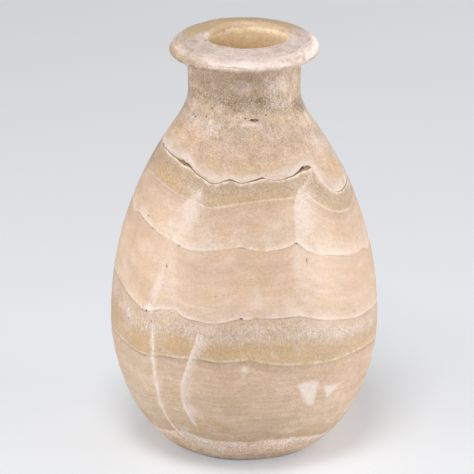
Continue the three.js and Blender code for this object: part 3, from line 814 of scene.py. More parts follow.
def lip_field(patches):
    """The same for patches on the lip"""
    field = np.zeros_like(RADIUS)
    for (x, y), (_, _, across, along, strength) in zip(on_lip(patches), patches):
        radius, angle = math.hypot(x, y), math.degrees(math.atan2(x, -y))
        arc = np.radians(turned_from(angle)) * radius
        reach = np.hypot(arc / along, (RADIUS - radius) / across) + PATCH_EDGE
        field = np.maximum(field, strength * (1 - smoothstep(reach, 0.4, 1.5)))
    return field * (on_the_lip & (HEIGHT > LIP_UNDERSIDE + LIP_WIDEST_RISE))


def wedge_field():
    """Distance in mm into the nearest wedge of spar. It is negative outside them all."""
    field = np.full_like(RADIUS, -WEDGE_LIMIT)
    for corners in SPAR_WEDGES:
        angles, heights = on_vase(corners)
        middle, level = angles.mean(), heights.mean()
        scale = float(outer_radius(level)) * math.pi / 180
        x, y = (angles - middle) * scale, (heights - level) * slope_at(level)
        px, py = turned_from(middle) * scale, (HEIGHT - level) * slope_at(level)
        depth = np.full_like(RADIUS, WEDGE_LIMIT)
        for i in range(len(corners)):
            ax, ay = x[i] - x[i - 1], y[i] - y[i - 1]
            side = (ay * (px - x[i - 1]) - ax * (py - y[i - 1])) / math.hypot(ax, ay)
            depth = np.minimum(depth, side)
        depth = depth - WEDGE_FADE * (y.max() - py)
        field = np.maximum(field, np.where(outside, depth, -WEDGE_LIMIT))
    return field


def sheen_streak_field():
    """How strongly the painted reflection streaks show at each place, from 0 to 1"""
    field = np.zeros_like(RADIUS)
    for line in SHEEN_STREAKS:
        offset, left, right, strength = line_offset(line, HEIGHT)
        reach = np.abs(offset) / np.where(offset < 0, left, right) + 0.35 * PATCH_EDGE
        field = np.maximum(field, strength * (1 - smoothstep(reach, 0.1, 1.6)))
    return field * outside


def relief():
    """How far each place of the stone stands out of the smooth form"""
    rough = sum(size * smooth_noise(smooth, spacing, kind) for kind, (spacing, size) in enumerate(WAVES))
    rough -= RELIEF_SINK
    lower_edge = np.where(from_low <= 0, np.exp(from_low / 1.5), 0) * has_parting
    upper_edge = np.where(from_high >= 0, np.exp(-from_high / 3.5), 0) * has_parting
    rough += 0.34 * lower_edge - 0.28 * upper_edge
    fading = np.clip(0.6 + 1.1 * smooth_noise(RING, 16, 12) + 0.5 * smooth_noise(RING, 5, 13), 0, 1.3)
    for seam, size in ((middle_seam, 0.17), (low_seam, 0.14), (honey_floor, 0.05)):
        away = HEIGHT - seam
        proud = np.where(away >= 0, np.exp(-away / 2.6), -np.exp(away / 1.4))
        rough += np.where(outside, size * proud * fading, 0)
    rough -= SUNK * (0.3 + 0.65 * opening) * smoothstep(opening, 0.0, 0.15)
    rough += np.where(on_the_lip, lip_relief(), 0)
    rings = np.sin(HEIGHT * 2.1 + 1.3 * smooth_noise(smooth, 30, 5))
    rough += np.where(ZONE == HOLLOW, 0.14 * rings, 0)
    return np.where(ZONE == BASE, -np.clip(rough + RELIEF_SINK, 0, BASE_RELIEF), rough)


def lip_relief():
    """Wear of the lip: a ledge and a worn edge behind its left side, a flat chip, and fine dents"""
    start, end = LEDGE_ANGLES
    reach = end - start
    behind = turned_from(end) + LEDGE_WANDER * smooth_noise(smooth, 6, 14)
    worn = smoothstep(-behind, -LEDGE_STEP, LEDGE_STEP) * (1 - smoothstep(-behind, reach - LEDGE_FADE, reach))
    low, high = LEDGE_RADII
    ledge = smoothstep(RADIUS, low, low + 2) * (1 - smoothstep(RADIUS, high - 1.2, high + 0.4))
    edge = smoothstep(RADIUS, *WORN_EDGE_RADII)
    chip = np.exp(-((turned_from(CHIP_ANGLE) / CHIP_SPREAD) ** 2))
    top = smoothstep(HEIGHT, LIP_UNDERSIDE + LIP_WIDEST_RISE, OVERALL_HEIGHT - LIP_TOP_FALL)
    dents = 0.1 * smooth_noise(smooth, 5, 4) + 0.07 * smooth_noise(smooth, 2.2, 6)
    return dents - LEDGE_DEPTH * worn * ledge * top - (WORN_EDGE_DEPTH * worn + CHIP_DEPTH * chip) * edge


stone = smooth + grid_normals(smooth) * relief()[..., None]
stone[..., 2] = np.clip(stone[..., 2], 0, OVERALL_HEIGHT)


def stone_mesh():
    """The closed surface through the rows, with a fan at each end, and its map"""
    count, columns = RADIUS.shape
    ends = np.array(((0, 0, BASE_HOLLOW), (0, 0, FLOOR_THICKNESS)))
    vertices = np.concatenate((stone.reshape(-1, 3), ends)) * MM
    number = np.arange(count * columns).reshape(count, columns)
    right = np.roll(number, -1, axis=1)
    quads = np.stack((number[:-1], right[:-1], right[1:], number[1:]), axis=-1).reshape(-1, 4)
    base_point, floor_point = count * columns, count * columns + 1
    fans = [(base_point, int(b), int(a)) for a, b in zip(number[0], right[0])]
    fans += [(floor_point, int(a), int(b)) for a, b in zip(number[-1], right[-1])]
    mesh = bpy.data.meshes.new("stone")
    mesh.from_pydata(vertices.tolist(), [], quads.tolist() + fans)
    mesh.shade_smooth()
    mesh.uv_layers.new(name="OFBake").data.foreach_set("uv", stone_map(count, columns).ravel())
    return mesh


def stone_map(count, columns):
    """Where each corner of the mesh lies on a flat map of the stone: round it, and along its rows"""
    steps = np.linalg.norm(np.diff(smooth[:, 0], axis=0), axis=1)
    steps *= np.where(np.isin(ZONE[1:, 0], (HOLLOW, BASE)), 0.4, 1)
    up = np.concatenate(((0,), np.cumsum(np.maximum(steps, 0.25)))) + 5
    up /= up[-1] + 5
    along = np.arange(columns + 1) / columns
    u = np.stack((along[:-1], along[1:], along[1:], along[:-1]), axis=-1)
    u = np.broadcast_to(u, (count - 1, columns, 4))
    v = np.stack((up[:-1], up[:-1], up[1:], up[1:]), axis=-1)
    v = np.broadcast_to(v[:, None, :], (count - 1, columns, 4))
    grid = np.stack((u, v), axis=-1).reshape(-1, 2)
    middle = (along[:-1] + along[1:]) / 2
    low_fan = np.stack([(m, 0.0, b, up[0], a, up[0]) for m, a, b in zip(middle, along[:-1], along[1:])])
    high_fan = np.stack([(m, 1.0, a, up[-1], b, up[-1]) for m, a, b in zip(middle, along[:-1], along[1:])])
    return np.concatenate((grid, low_fan.reshape(-1, 2), high_fan.reshape(-1, 2)))


def store(mesh, name, values, ends=(0, 0)):
    """Keeps one value for each point of the grid, and one for each end, with the mesh"""
    data = np.concatenate((values.reshape(-1), ends)).astype(np.float32)
    mesh.attributes.new(name, "FLOAT", "POINT").data.foreach_set("value", data)


def store_lines(mesh):
    """Keeps how strongly the dark hairlines, the painted highlights on the lit edges of the seams and the
    parting, and a pale line under the golden edge show at each place
    """
    dark = np.zeros_like(RADIUS)
    highlight = np.zeros_like(RADIUS)
    white = np.zeros_like(RADIUS)
    stained_under = np.zeros_like(RADIUS)
    seams = (
        (middle_seam, middle_dark, 0.6, 3.4), (low_seam, low_dark, 0.6, 2.4),
        (honey_floor, honey_dark, 0.4, 0.8),
    )
    for seam, darkness, highlight_strength, reach in seams:
        away = (HEIGHT - seam) / np.hypot(1, np.gradient(seam, TURN * outer_radius(seam)))
        dark = np.maximum(dark, darkness * np.exp(-((away + 0.25) / 0.45) ** 2))
        # Painted highlight along each seam's proud upper edge
        highlight = np.maximum(highlight, highlight_strength * np.exp(-((away - 0.5) / 0.5) ** 2))
        white = np.maximum(white, np.where(away >= 0, np.exp(-away / reach), 0))
        stained_under = np.maximum(stained_under, np.where(away < 0, np.exp(away / (2 * reach)), 0))
    # Painted highlight on the parting's lower lip, which faces up into the light
    highlight = np.maximum(highlight, has_parting * np.exp(-((from_low + 0.55) / 0.5) ** 2))
    golden = np.exp(-((HEIGHT - golden_line + 0.4) / 0.45) ** 2)
    highlight = np.maximum(highlight, 0.4 * golden * smoothstep(ANGLES, -40, -20))
    stained_under = np.maximum(stained_under, np.where(from_low < 0, np.exp(from_low / 5), 0))
    store(mesh, "dark_line", dark * outside)
    store(mesh, "highlight_and_pale_line", highlight * outside)
    store(mesh, "seam_white", white * outside)
    store(mesh, "under_seam", stained_under * outside)


def store_bedding(mesh):
    """Keeps the height in the bedding, how far its colours may wander, and the dirt in the parting"""
    store(mesh, "bed", BED, (0, FLOOR_THICKNESS))
    lines = np.stack([HEIGHT - knot for knot in KNOTS[1:-2]] + [from_high])
    store(mesh, "settled", np.where(outside, smoothstep(np.abs(lines).min(0), 0.3, 5), 1))
    dirt = np.maximum(SUNK, 0.6 * np.exp(-np.abs(from_low) / 0.25)) * has_parting
    store(mesh, "dirt", dirt * outside)


def store_patches(mesh):
    """Keeps the patches, the painted reflection streaks, the wedges of spar and the veins"""
    # The chalk patches share one field with the painted reflection streaks
    store(mesh, "chalk_and_sheen", np.maximum(patch_field(CHALK_PATCHES), sheen_streak_field()) + lip_field(LIP_CHALK))
    store(mesh, "honey", patch_field(HONEY_PATCHES) + lip_field(LIP_HONEY))
    store(mesh, "moss", patch_field(MOSS_PATCHES))
    store(mesh, "ash", patch_field(ASH_PATCHES))
    store(mesh, "grey_and_shade", patch_field(GREY_AND_SHADE_PATCHES) + lip_field(LIP_GREY))
    store(mesh, "spar", wedge_field(), (-WEDGE_LIMIT, -WEDGE_LIMIT))
    for name, line in (("left_vein", LEFT_VEIN), ("right_vein", RIGHT_VEIN)):
        offset, half = line_offset(line, HEIGHT)
        widths = np.clip(offset / half, -VEIN_LIMIT, VEIN_LIMIT)
        store(mesh, name, np.where(outside, widths, VEIN_LIMIT), (VEIN_LIMIT, VEIN_LIMIT))


def store_texture(mesh):
    """Keeps how pitted, fibrous, cloudy, grainy and layered the stone is, how much the shoulder is darkened
    as painted shade, and where the lower side of the lip is stained and darkened as painted shade"""
    pitted = smoothstep(BED, 182, 198) * (1 - 0.5 * smoothstep(BED, 221, 223))
    pitted += np.exp(-(((BED - SPECKLED_BED) / BAND_REACH) ** 2))
    pitted += 0.9 * smoothstep(BED, 211, 215) * (1 - smoothstep(BED, 219.5, 221.5))
    pitted += 0.25 * smoothstep(BED, 164, 168) * (1 - smoothstep(BED, 182, 184))
    # The lip's lower side is stained and darkened as painted shade: higher on its left, weaker on its right
    stain_height = 4.2 + 5 * smoothstep(np.abs(turned_from(-70)), 50, 22)
    lip_side_stain_and_shade = on_the_lip * (1 - smoothstep((HEIGHT - LIP_UNDERSIDE) / stain_height, 0.3, 1.2))
    lip_side_stain_and_shade *= 1 - 0.6 * smoothstep(np.abs(turned_from(70)), 65, 25)
    store(mesh, "lip_side_stain_and_shade", lip_side_stain_and_shade)
    store(mesh, "pitted", np.where(outside, pitted, 0.25 + 0.8 * lip_side_stain_and_shade), (0.25, 0.25))
    store(mesh, "fibrous", np.exp(-(((BED - FIBROUS_BED) / BAND_REACH) ** 2)) * outside)
    store(mesh, "cloudy", np.interp(BED, *zip(*CLOUDS)) * outside)
    # Painted shade: the upward-facing shoulder is darkened
    painted_shoulder_shade = smoothstep(BED, 136, 168) * (1 - smoothstep(BED, 206, 222))
    store(mesh, "painted_shoulder_shade", painted_shoulder_shade * outside)
    grain = np.interp(BED, *zip(*GRAIN))
    grain = np.where(outside, grain, np.where(on_the_lip, LIP_GRAIN, MOUTH_GRAIN))
    store(mesh, "grain", grain, (GRAIN[0][1], MOUTH_GRAIN))
    layers = smoothstep(BED, 24, 32) * (1 - smoothstep(BED, 66, 80)) + 0.2 * smoothstep(BED, 100, 105)
    layers += 0.6 * (1 - smoothstep(BED, 17, 20))
    store(mesh, "laminated", np.where(outside, layers, 0.15))


def store_mouth(mesh):
    """Keeps where the lip, its back and the mouth are, how deep the mouth is and how strong its painted glow
    is
    """
    store(mesh, "lip", on_the_lip.astype(float))
    mouth = (ZONE == HOLLOW) | (on_the_lip & (RADIUS < MOUTH_RADIUS + mouth_offset(OVERALL_HEIGHT) + 0.6))
    store(mesh, "mouth", mouth.astype(float), (0, 1))
    deep = smoothstep(OVERALL_HEIGHT - HEIGHT, *MOUTH_DEEPENS)
    store(mesh, "deep", np.where(mouth, deep, 0), (0, 1))
    funnel = 1 - smoothstep(RADIUS - mouth_offset(OVERALL_HEIGHT) - MOUTH_RADIUS, 0, 6)
    funnel *= on_the_lip * smoothstep(np.abs(turned_from(180)), 110, 60)
    store(mesh, "glowing", np.where(mouth, 1, 0.6 * funnel) * (1 - 0.9 * deep), (0, 0.1))
    behind = smoothstep(np.abs(turned_from(180)), 85, 55)
    store(mesh, "back_lip", np.where(on_the_lip, behind, 0))


def store_places(mesh):
    """Keeps each place with its height in the bedding, so that the grain follows the layers"""
    places = np.dstack((smooth[..., :2], BED)).reshape(-1, 3)
    places = np.concatenate((places, ((0, 0, 0), (0, 0, FLOOR_THICKNESS)))).astype(np.float32)
    mesh.attributes.new("bedded", "FLOAT_VECTOR", "POINT").data.foreach_set("vector", places.ravel())


def divide_round_pits(mesh, centres):
    """Divides the mesh more finely round the middle of each pit"""
    body = bmesh.new()
    body.from_mesh(mesh)
    body.faces.ensure_lookup_table()
    middles = (smooth[:-1] + np.roll(smooth[1:], -1, axis=1)).reshape(-1, 3) / 2
    near = set()
    for centre, (_, _, across, along, _, _) in zip(centres, PITS):
        reach = max(across, along) + PIT_MARGIN
        near.update(np.nonzero(np.linalg.norm(middles - centre, axis=1) < reach)[0].tolist())
    edges = {edge for i in near for edge in body.faces[i].edges}
    bmesh.ops.subdivide_edges(body, edges=list(edges), cuts=PIT_CUTS, use_grid_fill=True)
    body.to_mesh(mesh)
    body.free()


def cut_pits(mesh):
    """Sinks the small pits into the stone"""
    angles, levels = on_vase(PITS)
    turns = np.radians(angles)
    radii = outer_radius(levels)
    divide_round_pits(mesh, np.stack((radii * np.sin(turns), -radii * np.cos(turns), levels), axis=-1))
    points = np.empty(len(mesh.vertices) * 3, np.float32)
    mesh.vertices.foreach_get("co", points)
    points = points.reshape(-1, 3) / MM
    pit = np.zeros(len(points), np.float32)
    turn = np.arctan2(points[:, 0], -points[:, 1])
    radius = np.hypot(points[:, 0], points[:, 1])
    on_outside = (points[:, 2] < LIP_UNDERSIDE) & (radius > outer_radius(points[:, 2]) - SKIN_DEPTH)
    for angle, level, (_, _, across, along, depth, stain) in zip(turns, levels, PITS):
        arc = ((turn - angle + math.pi) % (2 * math.pi) - math.pi) * radius
        rise = (points[:, 2] - level) * slope_at(level)
        reach = np.hypot(arc / across, rise / along)
        close = np.nonzero(on_outside & (reach < 2))[0]
        ragged = reach[close] + PIT_RAGGEDNESS * smooth_noise(points[close], 0.9, 8)
        sunk = 1 - smoothstep(ragged, PIT_FLAT_SHARE, 1)
        inward = sunk * depth / slope_at(level)
        points[close, 0] -= np.sin(turn[close]) * inward
        points[close, 1] += np.cos(turn[close]) * inward
        pit[close] = np.maximum(pit[close], stain * sunk)
    mesh.vertices.foreach_set("co", (points * MM).astype(np.float32).ravel())
    mesh.attributes.new("pit", "FLOAT", "POINT").data.foreach_set("value", pit.astype(np.float32))
    mesh.update()


class Graph:
    """Builds the nodes of one material. Each method gives back an output that others can take."""

    def __init__(self, name):
        self.material = bpy.data.materials.new(name)
        self.material.use_nodes = True
        self.nodes = self.material.node_tree.nodes
        self.links = self.material.node_tree.links
        self.nodes.clear()

    def add(self, kind, inputs, output=0, **settings):
        node = self.nodes.new(kind)
        for key, value in settings.items():
            setattr(node, key, value)
        for key, value in inputs.items():
            self.feed(node.inputs[key], value)
        return node.outputs[output]

    def feed(self, socket, value):
        if isinstance(value, bpy.types.NodeSocket):
            self.links.new(value, socket)
        else:
            socket.default_value = value

    def attribute(self, name, output="Fac"):
        return self.add("ShaderNodeAttribute", {}, output, attribute_name=name)

    def math(self, operation, a, b=0.0):
        return self.add("ShaderNodeMath", {0: a, 1: b}, operation=operation)

    def times(self, a, b):
        return self.math("MULTIPLY", a, b)

    def plus(self, a, b):
        return self.math("ADD", a, b)

    def centred(self, value):
        return self.math("SUBTRACT", value, 0.5)

    def stretch(self, vector, scale):
        return self.add("ShaderNodeVectorMath", {0: vector, 1: scale}, operation="MULTIPLY")

    def noise(self, vector, scale, detail, roughness=0.5, distortion=0.0):
        inputs = {"Vector": vector, "Scale": scale, "Detail": detail, "Roughness": roughness}
        return self.add("ShaderNodeTexNoise", {**inputs, "Distortion": distortion})

    def voronoi(self, vector, scale):
        return self.add("ShaderNodeTexVoronoi", {"Vector": vector, "Scale": scale})

    def step(self, value, low, high, start=0.0, end=1.0):
        inputs = {0: value, 1: low, 2: high, 3: start, 4: end}
        return self.add("ShaderNodeMapRange", inputs, interpolation_type="SMOOTHSTEP")

    def mix(self, share, a, b):
        return self.add("ShaderNodeMix", {0: share, 6: a, 7: b}, 2, data_type="RGBA")

    def ramp(self, value, stops, low, high):
        place = self.add("ShaderNodeMapRange", {0: value, 1: low, 2: high})
        output = self.add("ShaderNodeValToRGB", {0: place})
        elements = output.node.color_ramp.elements
        for i, (at, colour) in enumerate(stops):
            element = elements[i] if i < 2 else elements.new(1)
            element.position = (at - low) / (high - low)
            element.color = colour
        return output

    def shade(self, colour, amount):
        return self.add("ShaderNodeVectorMath", {0: colour, "Scale": amount}, operation="SCALE")

    def bump(self, height, strength, distance):
        return self.add("ShaderNodeBump", {"Height": height, "Strength": strength, "Distance": distance})

    def finish(self, **inputs):
        shader = self.add("ShaderNodeBsdfPrincipled", {k.replace("_", " "): v for k, v in inputs.items()})
        output = self.nodes.new("ShaderNodeOutputMaterial")
        self.links.new(shader, output.inputs["Surface"])
        return self.material


def layered_colour(g, place, bed):
    """The bedding's own colours, which wander a little between the seams, with painted shade on the shoulder
    """
    wander = g.noise(g.stretch(place, (1, 1, 0.3)), 0.05, 3, 0.55)
    swing = g.times(g.centred(wander), g.times(g.attribute("settled"), 14))
    level = g.plus(bed, swing)
    lower = g.ramp(level, LOWER_LAYERS, 0, LOWER_LAYERS[-1][0])
    upper = g.ramp(level, UPPER_LAYERS, UPPER_LAYERS[0][0], UPPER_LAYERS[-1][0])
    colour = g.mix(g.step(bed, UPPER_START - 1, UPPER_START + 1), lower, upper)
    clouds = g.noise(g.stretch(place, (1, 1, 2.2)), 0.035, 4, 0.6)
    colour = g.mix(g.step(clouds, 0.5, 0.7, 0, 0.5), colour, HONEY)
    colour = g.mix(g.step(clouds, 0.46, 0.3, 0, 0.4), colour, PALE_CREAM)
    drift = g.noise(g.stretch(place, (1, 1, 1.6)), 0.09, 3, 0.6)
    colour = g.mix(g.step(drift, 0.5, 0.7, 0, 0.35), colour, HONEY)
    colour = g.mix(g.step(drift, 0.48, 0.3, 0, 0.35), colour, CHALK_AND_SHEEN)
    bands = g.noise(g.stretch(place, (0.12, 0.12, 1.0)), 0.16, 3, 0.65)
    # The shoulder is darkened a little as painted shade
    swing = g.plus(g.times(g.centred(bands), 0.42), g.times(g.attribute("painted_shoulder_shade"), -0.1))
    return g.shade(colour, g.plus(1.0, swing))


def stained(g, colour, place):
    """Patches of moss, ash, honey, grey and chalk, with mottled edges. The grey ones also paint shade, and
    the chalk ones also paint reflections and light.
    """
    blotch = g.noise(place, 0.17, 5, 0.65)
    fleck = g.noise(place, 0.5, 3, 0.6)
    edge = g.plus(g.times(g.centred(blotch), 1.1), g.times(g.centred(fleck), 0.8))
    honey = g.mix(g.attribute("lip"), DEEP_HONEY, LIP_GOLD)
    tones = (
        ("moss", MOSS, 0.9), ("ash", ASH, 0.9), ("honey", honey, 0.8), ("grey_and_shade", STAIN_AND_SHADE_GREY, 0.85),
        ("chalk_and_sheen", CHALK_AND_SHEEN, 0.85),
    )
    for name, tone, most in tones:
        patch = g.attribute(name)
        share = g.times(g.step(g.plus(patch, edge), -0.15, 0.9), g.math("MINIMUM", patch, 1.0))
        colour = g.mix(g.times(share, most), colour, tone)
    return colour


def laminated(g, colour, place):
    """Thin layers seen on edge, which fade in and out"""
    lines = g.noise(g.stretch(place, (0.07, 0.07, 1.0)), 0.75, 4, 0.65, 0.3)
    broken = g.step(g.noise(place, 0.11, 3, 0.6), 0.36, 0.6)
    amount = g.times(g.attribute("laminated"), broken)
    broad = g.noise(g.stretch(place, (0.06, 0.06, 1.0)), 0.3, 3, 0.6, 0.4)
    colour = g.mix(g.times(g.step(broad, 0.52, 0.66, 0, 0.6), amount), colour, HONEY)
    colour = g.mix(g.times(g.step(broad, 0.46, 0.34, 0, 0.55), amount), colour, PALE_CREAM)
    colour = g.mix(g.times(g.step(lines, 0.5, 0.7, 0, 0.7), amount), colour, OLIVE)
    return g.mix(g.times(g.step(lines, 0.48, 0.3, 0, 0.6), amount), colour, PALE_CREAM)


def veined(g, colour, place):
    """Veins and wedges of white spar, ragged along their edges"""
    ragged = g.times(g.centred(g.noise(place, 0.5, 4, 0.7)), 3.4)
    patchy = g.noise(place, 0.3, 4, 0.7)
    left = g.plus(g.math("ABSOLUTE", g.attribute("left_vein")), ragged)
    colour = g.mix(g.step(left, 3.6, 0.6, 0, 0.45), colour, CHALK_AND_SHEEN)
    colour = g.mix(g.times(g.step(left, 1.3, 0.2), g.step(patchy, 0.62, 0.4, 0.4, 0.9)), colour, SPAR_WHITE)
    right = g.attribute("right_vein")
    crisp = g.step(g.plus(right, g.times(ragged, 0.4)), -1.2, -0.2)
    soft = g.step(g.plus(right, ragged), 6.5, 0.6, 0, 0.8)
    colour = g.mix(g.times(crisp, soft), colour, CHALK_AND_SHEEN)
    core = g.plus(g.math("ABSOLUTE", right), g.times(ragged, 0.6))
    colour = g.mix(g.times(g.step(core, 1.3, 0.2), g.step(patchy, 0.62, 0.4, 0.35, 0.85)), colour, SPAR_WHITE)
    spar = g.plus(g.attribute("spar"), g.times(ragged, 0.9))
    return g.mix(g.step(spar, -1.6, 1.4, 0, 0.85), colour, SPAR_WHITE)


def grained(g, colour, grain, coarse, blotch, place):
    """Clouds and fine light and dark grain, with pores and white flecks where the stone is pitted, and
    upright fibres under the low seam"""
    strength = g.attribute("grain")
    swing = g.plus(g.times(g.centred(grain), 1.7), g.times(g.centred(coarse), 0.5))
    clouds = g.times(g.centred(blotch), g.attribute("cloudy"))
    change = g.plus(clouds, g.times(swing, strength))
    tinted = {0: change, 1: (0.85, 1.0, 1.25), 2: (1, 1, 1)}
    colour = g.stretch(colour, g.add("ShaderNodeVectorMath", tinted, operation="MULTIPLY_ADD"))
    fibres = g.noise(g.stretch(place, (1.0, 1.0, 0.28)), 1.1, 2, 0.65)
    fibrous = g.attribute("fibrous")
    colour = g.mix(g.times(g.step(fibres, 0.52, 0.68, 0, 0.75), fibrous), colour, CHALK_AND_SHEEN)
    colour = g.mix(g.times(g.step(fibres, 0.46, 0.32, 0, 0.4), fibrous), colour, STAIN_AND_SHADE_GREY)
    pitted = g.plus(g.attribute("pitted"), g.times(g.attribute("under_seam"), 0.6))
    specks = g.noise(g.stretch(place, (1.0, 1.0, 1.35)), 1.3, 1, 0.5)
    colour = g.mix(g.times(g.step(specks, 0.58, 0.7, 0, 0.5), pitted), colour, CHALK_AND_SHEEN)
    pores = g.times(g.step(specks, 0.42, 0.28), g.step(coarse, 0.6, 0.4))
    return g.mix(g.times(g.times(pores, pitted), 0.6), colour, PORE_BROWN)


def lip_coloured(g, colour, place):
    """The chalky lip, tan behind, with its lower side stained and darkened as painted shade"""
    cloud = g.noise(place, 0.2, 4, 0.65)
    streaks = g.noise(g.stretch(place, (0.1, 0.1, 1.0)), 0.9, 3, 0.7)
    chalky = g.mix(g.step(cloud, 0.4, 0.64, 0, 0.85), LIP_WHITE, LIP_ROSE)
    chalky = g.mix(g.step(streaks, 0.48, 0.3, 0, 0.7), chalky, STAIN_AND_SHADE_GREY)
    chalky = g.mix(g.step(streaks, 0.54, 0.7, 0, 0.8), chalky, LIP_WHITE)
    chalky = g.mix(g.times(g.attribute("back_lip"), g.step(cloud, 0.2, 0.6, 0.75, 1)), chalky, LIP_TAN)
    # Stain and painted shade on the lip's lower side
    chalky = g.mix(g.times(g.attribute("lip_side_stain_and_shade"), g.step(cloud, 0.3, 0.6, 0.6, 1)), chalky, LIP_STAIN_AND_SHADE)
    return g.mix(g.attribute("lip"), colour, chalky)


def mouth_coloured(g, colour, place):
    """The honey-coloured wall of the mouth and of the hollow under it"""
    glow = g.noise(place, 0.45, 4, 0.7)
    wall = g.mix(g.step(glow, 0.5, 0.68), MOUTH_GLOW, SPAR_WHITE)
    wall = g.mix(g.step(glow, 0.48, 0.32, 0, 0.6), wall, MOUTH_DEEP)
    wall = g.mix(g.times(g.attribute("deep"), 0.85), wall, MOUTH_DEEP)
    return g.mix(g.attribute("mouth"), colour, wall)


def calcite():
    g = Graph("banded_calcite")
    place = g.attribute("bedded", "Vector")
    bed = g.attribute("bed")
    grain = g.noise(place, 1.15, 2, 0.8)
    coarse = g.noise(place, 0.42, 3, 0.6)
    blotch = g.noise(place, 0.13, 4, 0.65)

    colour = layered_colour(g, place, bed)
    colour = lip_coloured(g, colour, place)
    colour = mouth_coloured(g, colour, place)
    colour = stained(g, colour, place)
    colour = laminated(g, colour, place)
    colour = veined(g, colour, place)
    patchy = g.step(g.plus(g.times(blotch, 0.7), g.times(coarse, 0.3)), 0.4, 0.6)
    colour = g.mix(g.times(g.times(g.attribute("seam_white"), patchy), 0.85), colour, CHALK_AND_SHEEN)
    colour = g.mix(g.times(g.times(g.attribute("under_seam"), patchy), 0.35), colour, OLIVE)
    colour = grained(g, colour, grain, coarse, blotch, place)
    broken = g.times(g.step(coarse, 0.32, 0.58, 0.3, 1), g.step(blotch, 0.36, 0.56, 0.35, 1))
    # Painted highlights on the lit edges of the seams and the parting, and a pale line under the golden edge
    colour = g.mix(g.times(g.attribute("highlight_and_pale_line"), broken), colour, HIGHLIGHT_CREAM)
    colour = g.mix(g.times(g.attribute("dark_line"), g.times(broken, 0.9)), colour, SEAM_BROWN)
    ragged = g.times(g.centred(coarse), 0.3)
    dirt = g.step(g.plus(g.attribute("dirt"), ragged), 0.35, 0.85)
    colour = g.mix(g.times(dirt, 0.75), colour, SEAM_BROWN)
    colour = g.mix(g.step(g.attribute("pit"), 0.15, 0.85, 0, 0.9), colour, PIT_BROWN)

    rough = g.step(coarse, 0.3, 0.7, 0.4, 0.56)
    bumps = g.plus(g.times(grain, g.attribute("grain")), g.times(coarse, 0.8))
    normal = g.bump(bumps, 0.4, 0.4 * MM)
    # Painted glow, standing in for the light that comes through the stone round the mouth
    glow = g.times(g.attribute("glowing"), g.step(coarse, 0.35, 0.65, *MOUTH_LIGHT_STRENGTH))
    return g.finish(
        Base_Color=colour, Roughness=rough, Normal=normal, Emission_Color=MOUTH_LIGHT, Emission_Strength=glow,
    )


def burial_earth():
    g = Graph("burial_earth")
    place = g.add("ShaderNodeTexCoord", {}, "Object")
    grains = g.voronoi(place, 1400)
    clumps = g.noise(place, 500, 3, 0.6)
    colour = g.mix(g.step(clumps, 0.35, 0.65), EARTH_DARK, EARTH)
    colour = g.mix(g.step(grains, 0.35, 0.05), colour, EARTH_PALE)
    normal = g.bump(grains, 0.8, 0.3 * MM)
    rough = g.step(clumps, 0.3, 0.7, 0.85, 0.97)
    return g.finish(Base_Color=colour, Roughness=rough, Normal=normal)


def add_stone():
    mesh = stone_mesh()
    for keep in (store_bedding, store_lines, store_patches, store_texture, store_mouth, store_places):
        keep(mesh)
    cut_pits(mesh)
    mesh.materials.append(calcite())
    piece = add_object("stone_vase", mesh)
    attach(piece, "root")
    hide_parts("vase_body")


def add_earth(node, material):
    """A crumbly lump in the place of a plain one"""
    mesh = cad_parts[node].data.copy()
    body = bmesh.new()
    body.from_mesh(mesh)
    bmesh.ops.remove_doubles(body, verts=body.verts, dist=MERGE_DISTANCE * MM)
    bmesh.ops.subdivide_edges(body, edges=body.edges[:], cuts=EARTH_CUTS, use_grid_fill=True)
    body.normal_update()
    for vertex in body.verts:
        place = vertex.co / MM
        crumb = noise.noise(place / CRUMB_SIZE) + 0.6 * noise.noise(place / (CRUMB_SIZE / 2))
        vertex.co -= vertex.normal * CRUMB_DEPTH * (1 + crumb) * MM
    body.to_mesh(mesh)
    body.free()
    mesh.shade_smooth()
    mesh.materials.clear()
    mesh.materials.append(material)
    piece = add_object("crumbly_" + node, mesh)
    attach(piece, "root")
    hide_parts(node)


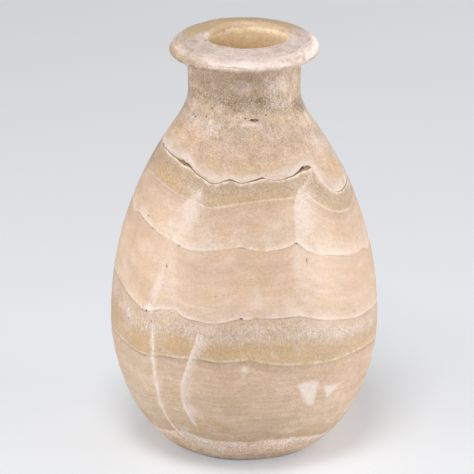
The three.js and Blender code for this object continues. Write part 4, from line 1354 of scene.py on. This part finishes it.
def add_floor():
    """A pale floor. What the camera sees of it is a little brighter than the light that it throws back."""
    g = Graph("pale_floor")
    seen = g.add("ShaderNodeLightPath", {}, "Is Camera Ray")
    tone = g.noise(g.add("ShaderNodeTexCoord", {}, "Object"), 3, 2)
    pale = g.mix(tone, FLOOR_PALE, FLOOR_PALER)
    glow = g.times(seen, FLOOR_GLOW)
    material = g.finish(Base_Color=pale, Roughness=0.9, Emission_Color=FLOOR_LIGHT, Emission_Strength=glow)
    mesh = bpy.data.meshes.new("floor")
    corners = [(x * FLOOR_REACH, y * FLOOR_REACH, 0) for x, y in ((-1, -1), (1, -1), (1, 1), (-1, 1))]
    mesh.from_pydata(corners, [], [(0, 1, 2, 3)])
    mesh.materials.append(material)
    floor = add_object("floor", mesh)


def add_softbox(name, azimuth, elevation, distance, size, energy):
    data = bpy.data.lights.new(name, "AREA")
    data.shape = "RECTANGLE"
    data.size, data.size_y = size
    data.spread = SOFTBOX_SPREAD
    data.energy = energy
    light = add_object(name, data)
    turn, rise = math.radians(azimuth), math.radians(elevation)
    light.location = (distance * math.cos(rise) * math.sin(turn), -distance * math.cos(rise) * math.cos(turn),
                      VIEW_HEIGHT * MM + distance * math.sin(rise))
    light.rotation_euler = (math.pi / 2 - rise, 0, turn)
    light.visible_camera = False


def add_lighting():
    world = bpy.data.worlds.new("studio")
    world.use_nodes = True
    tree = world.node_tree
    background = tree.nodes["Background"]
    background.inputs["Color"].default_value = (1, 1, 1, 1)
    path = tree.nodes.new("ShaderNodeLightPath")
    strength = tree.nodes.new("ShaderNodeMapRange")
    strength.inputs[3].default_value = LIGHT_ALL_ROUND
    strength.inputs[4].default_value = BACKDROP_BRIGHTNESS
    tree.links.new(path.outputs["Is Camera Ray"], strength.inputs[0])
    tree.links.new(strength.outputs[0], background.inputs["Strength"])
    bpy.context.scene.world = world
    for softbox in SOFTBOXES:
        add_softbox(*softbox)


add_camera()
add_stone()
EARTH_MATERIAL = burial_earth()
for node in ("earth_in_left_edge_hole", "earth_in_left_void", "earth_in_right_void", "earth_in_neck_pit"):
    add_earth(node, EARTH_MATERIAL)
add_floor()
add_lighting()
bpy.context.scene.view_settings.view_transform = "Standard"
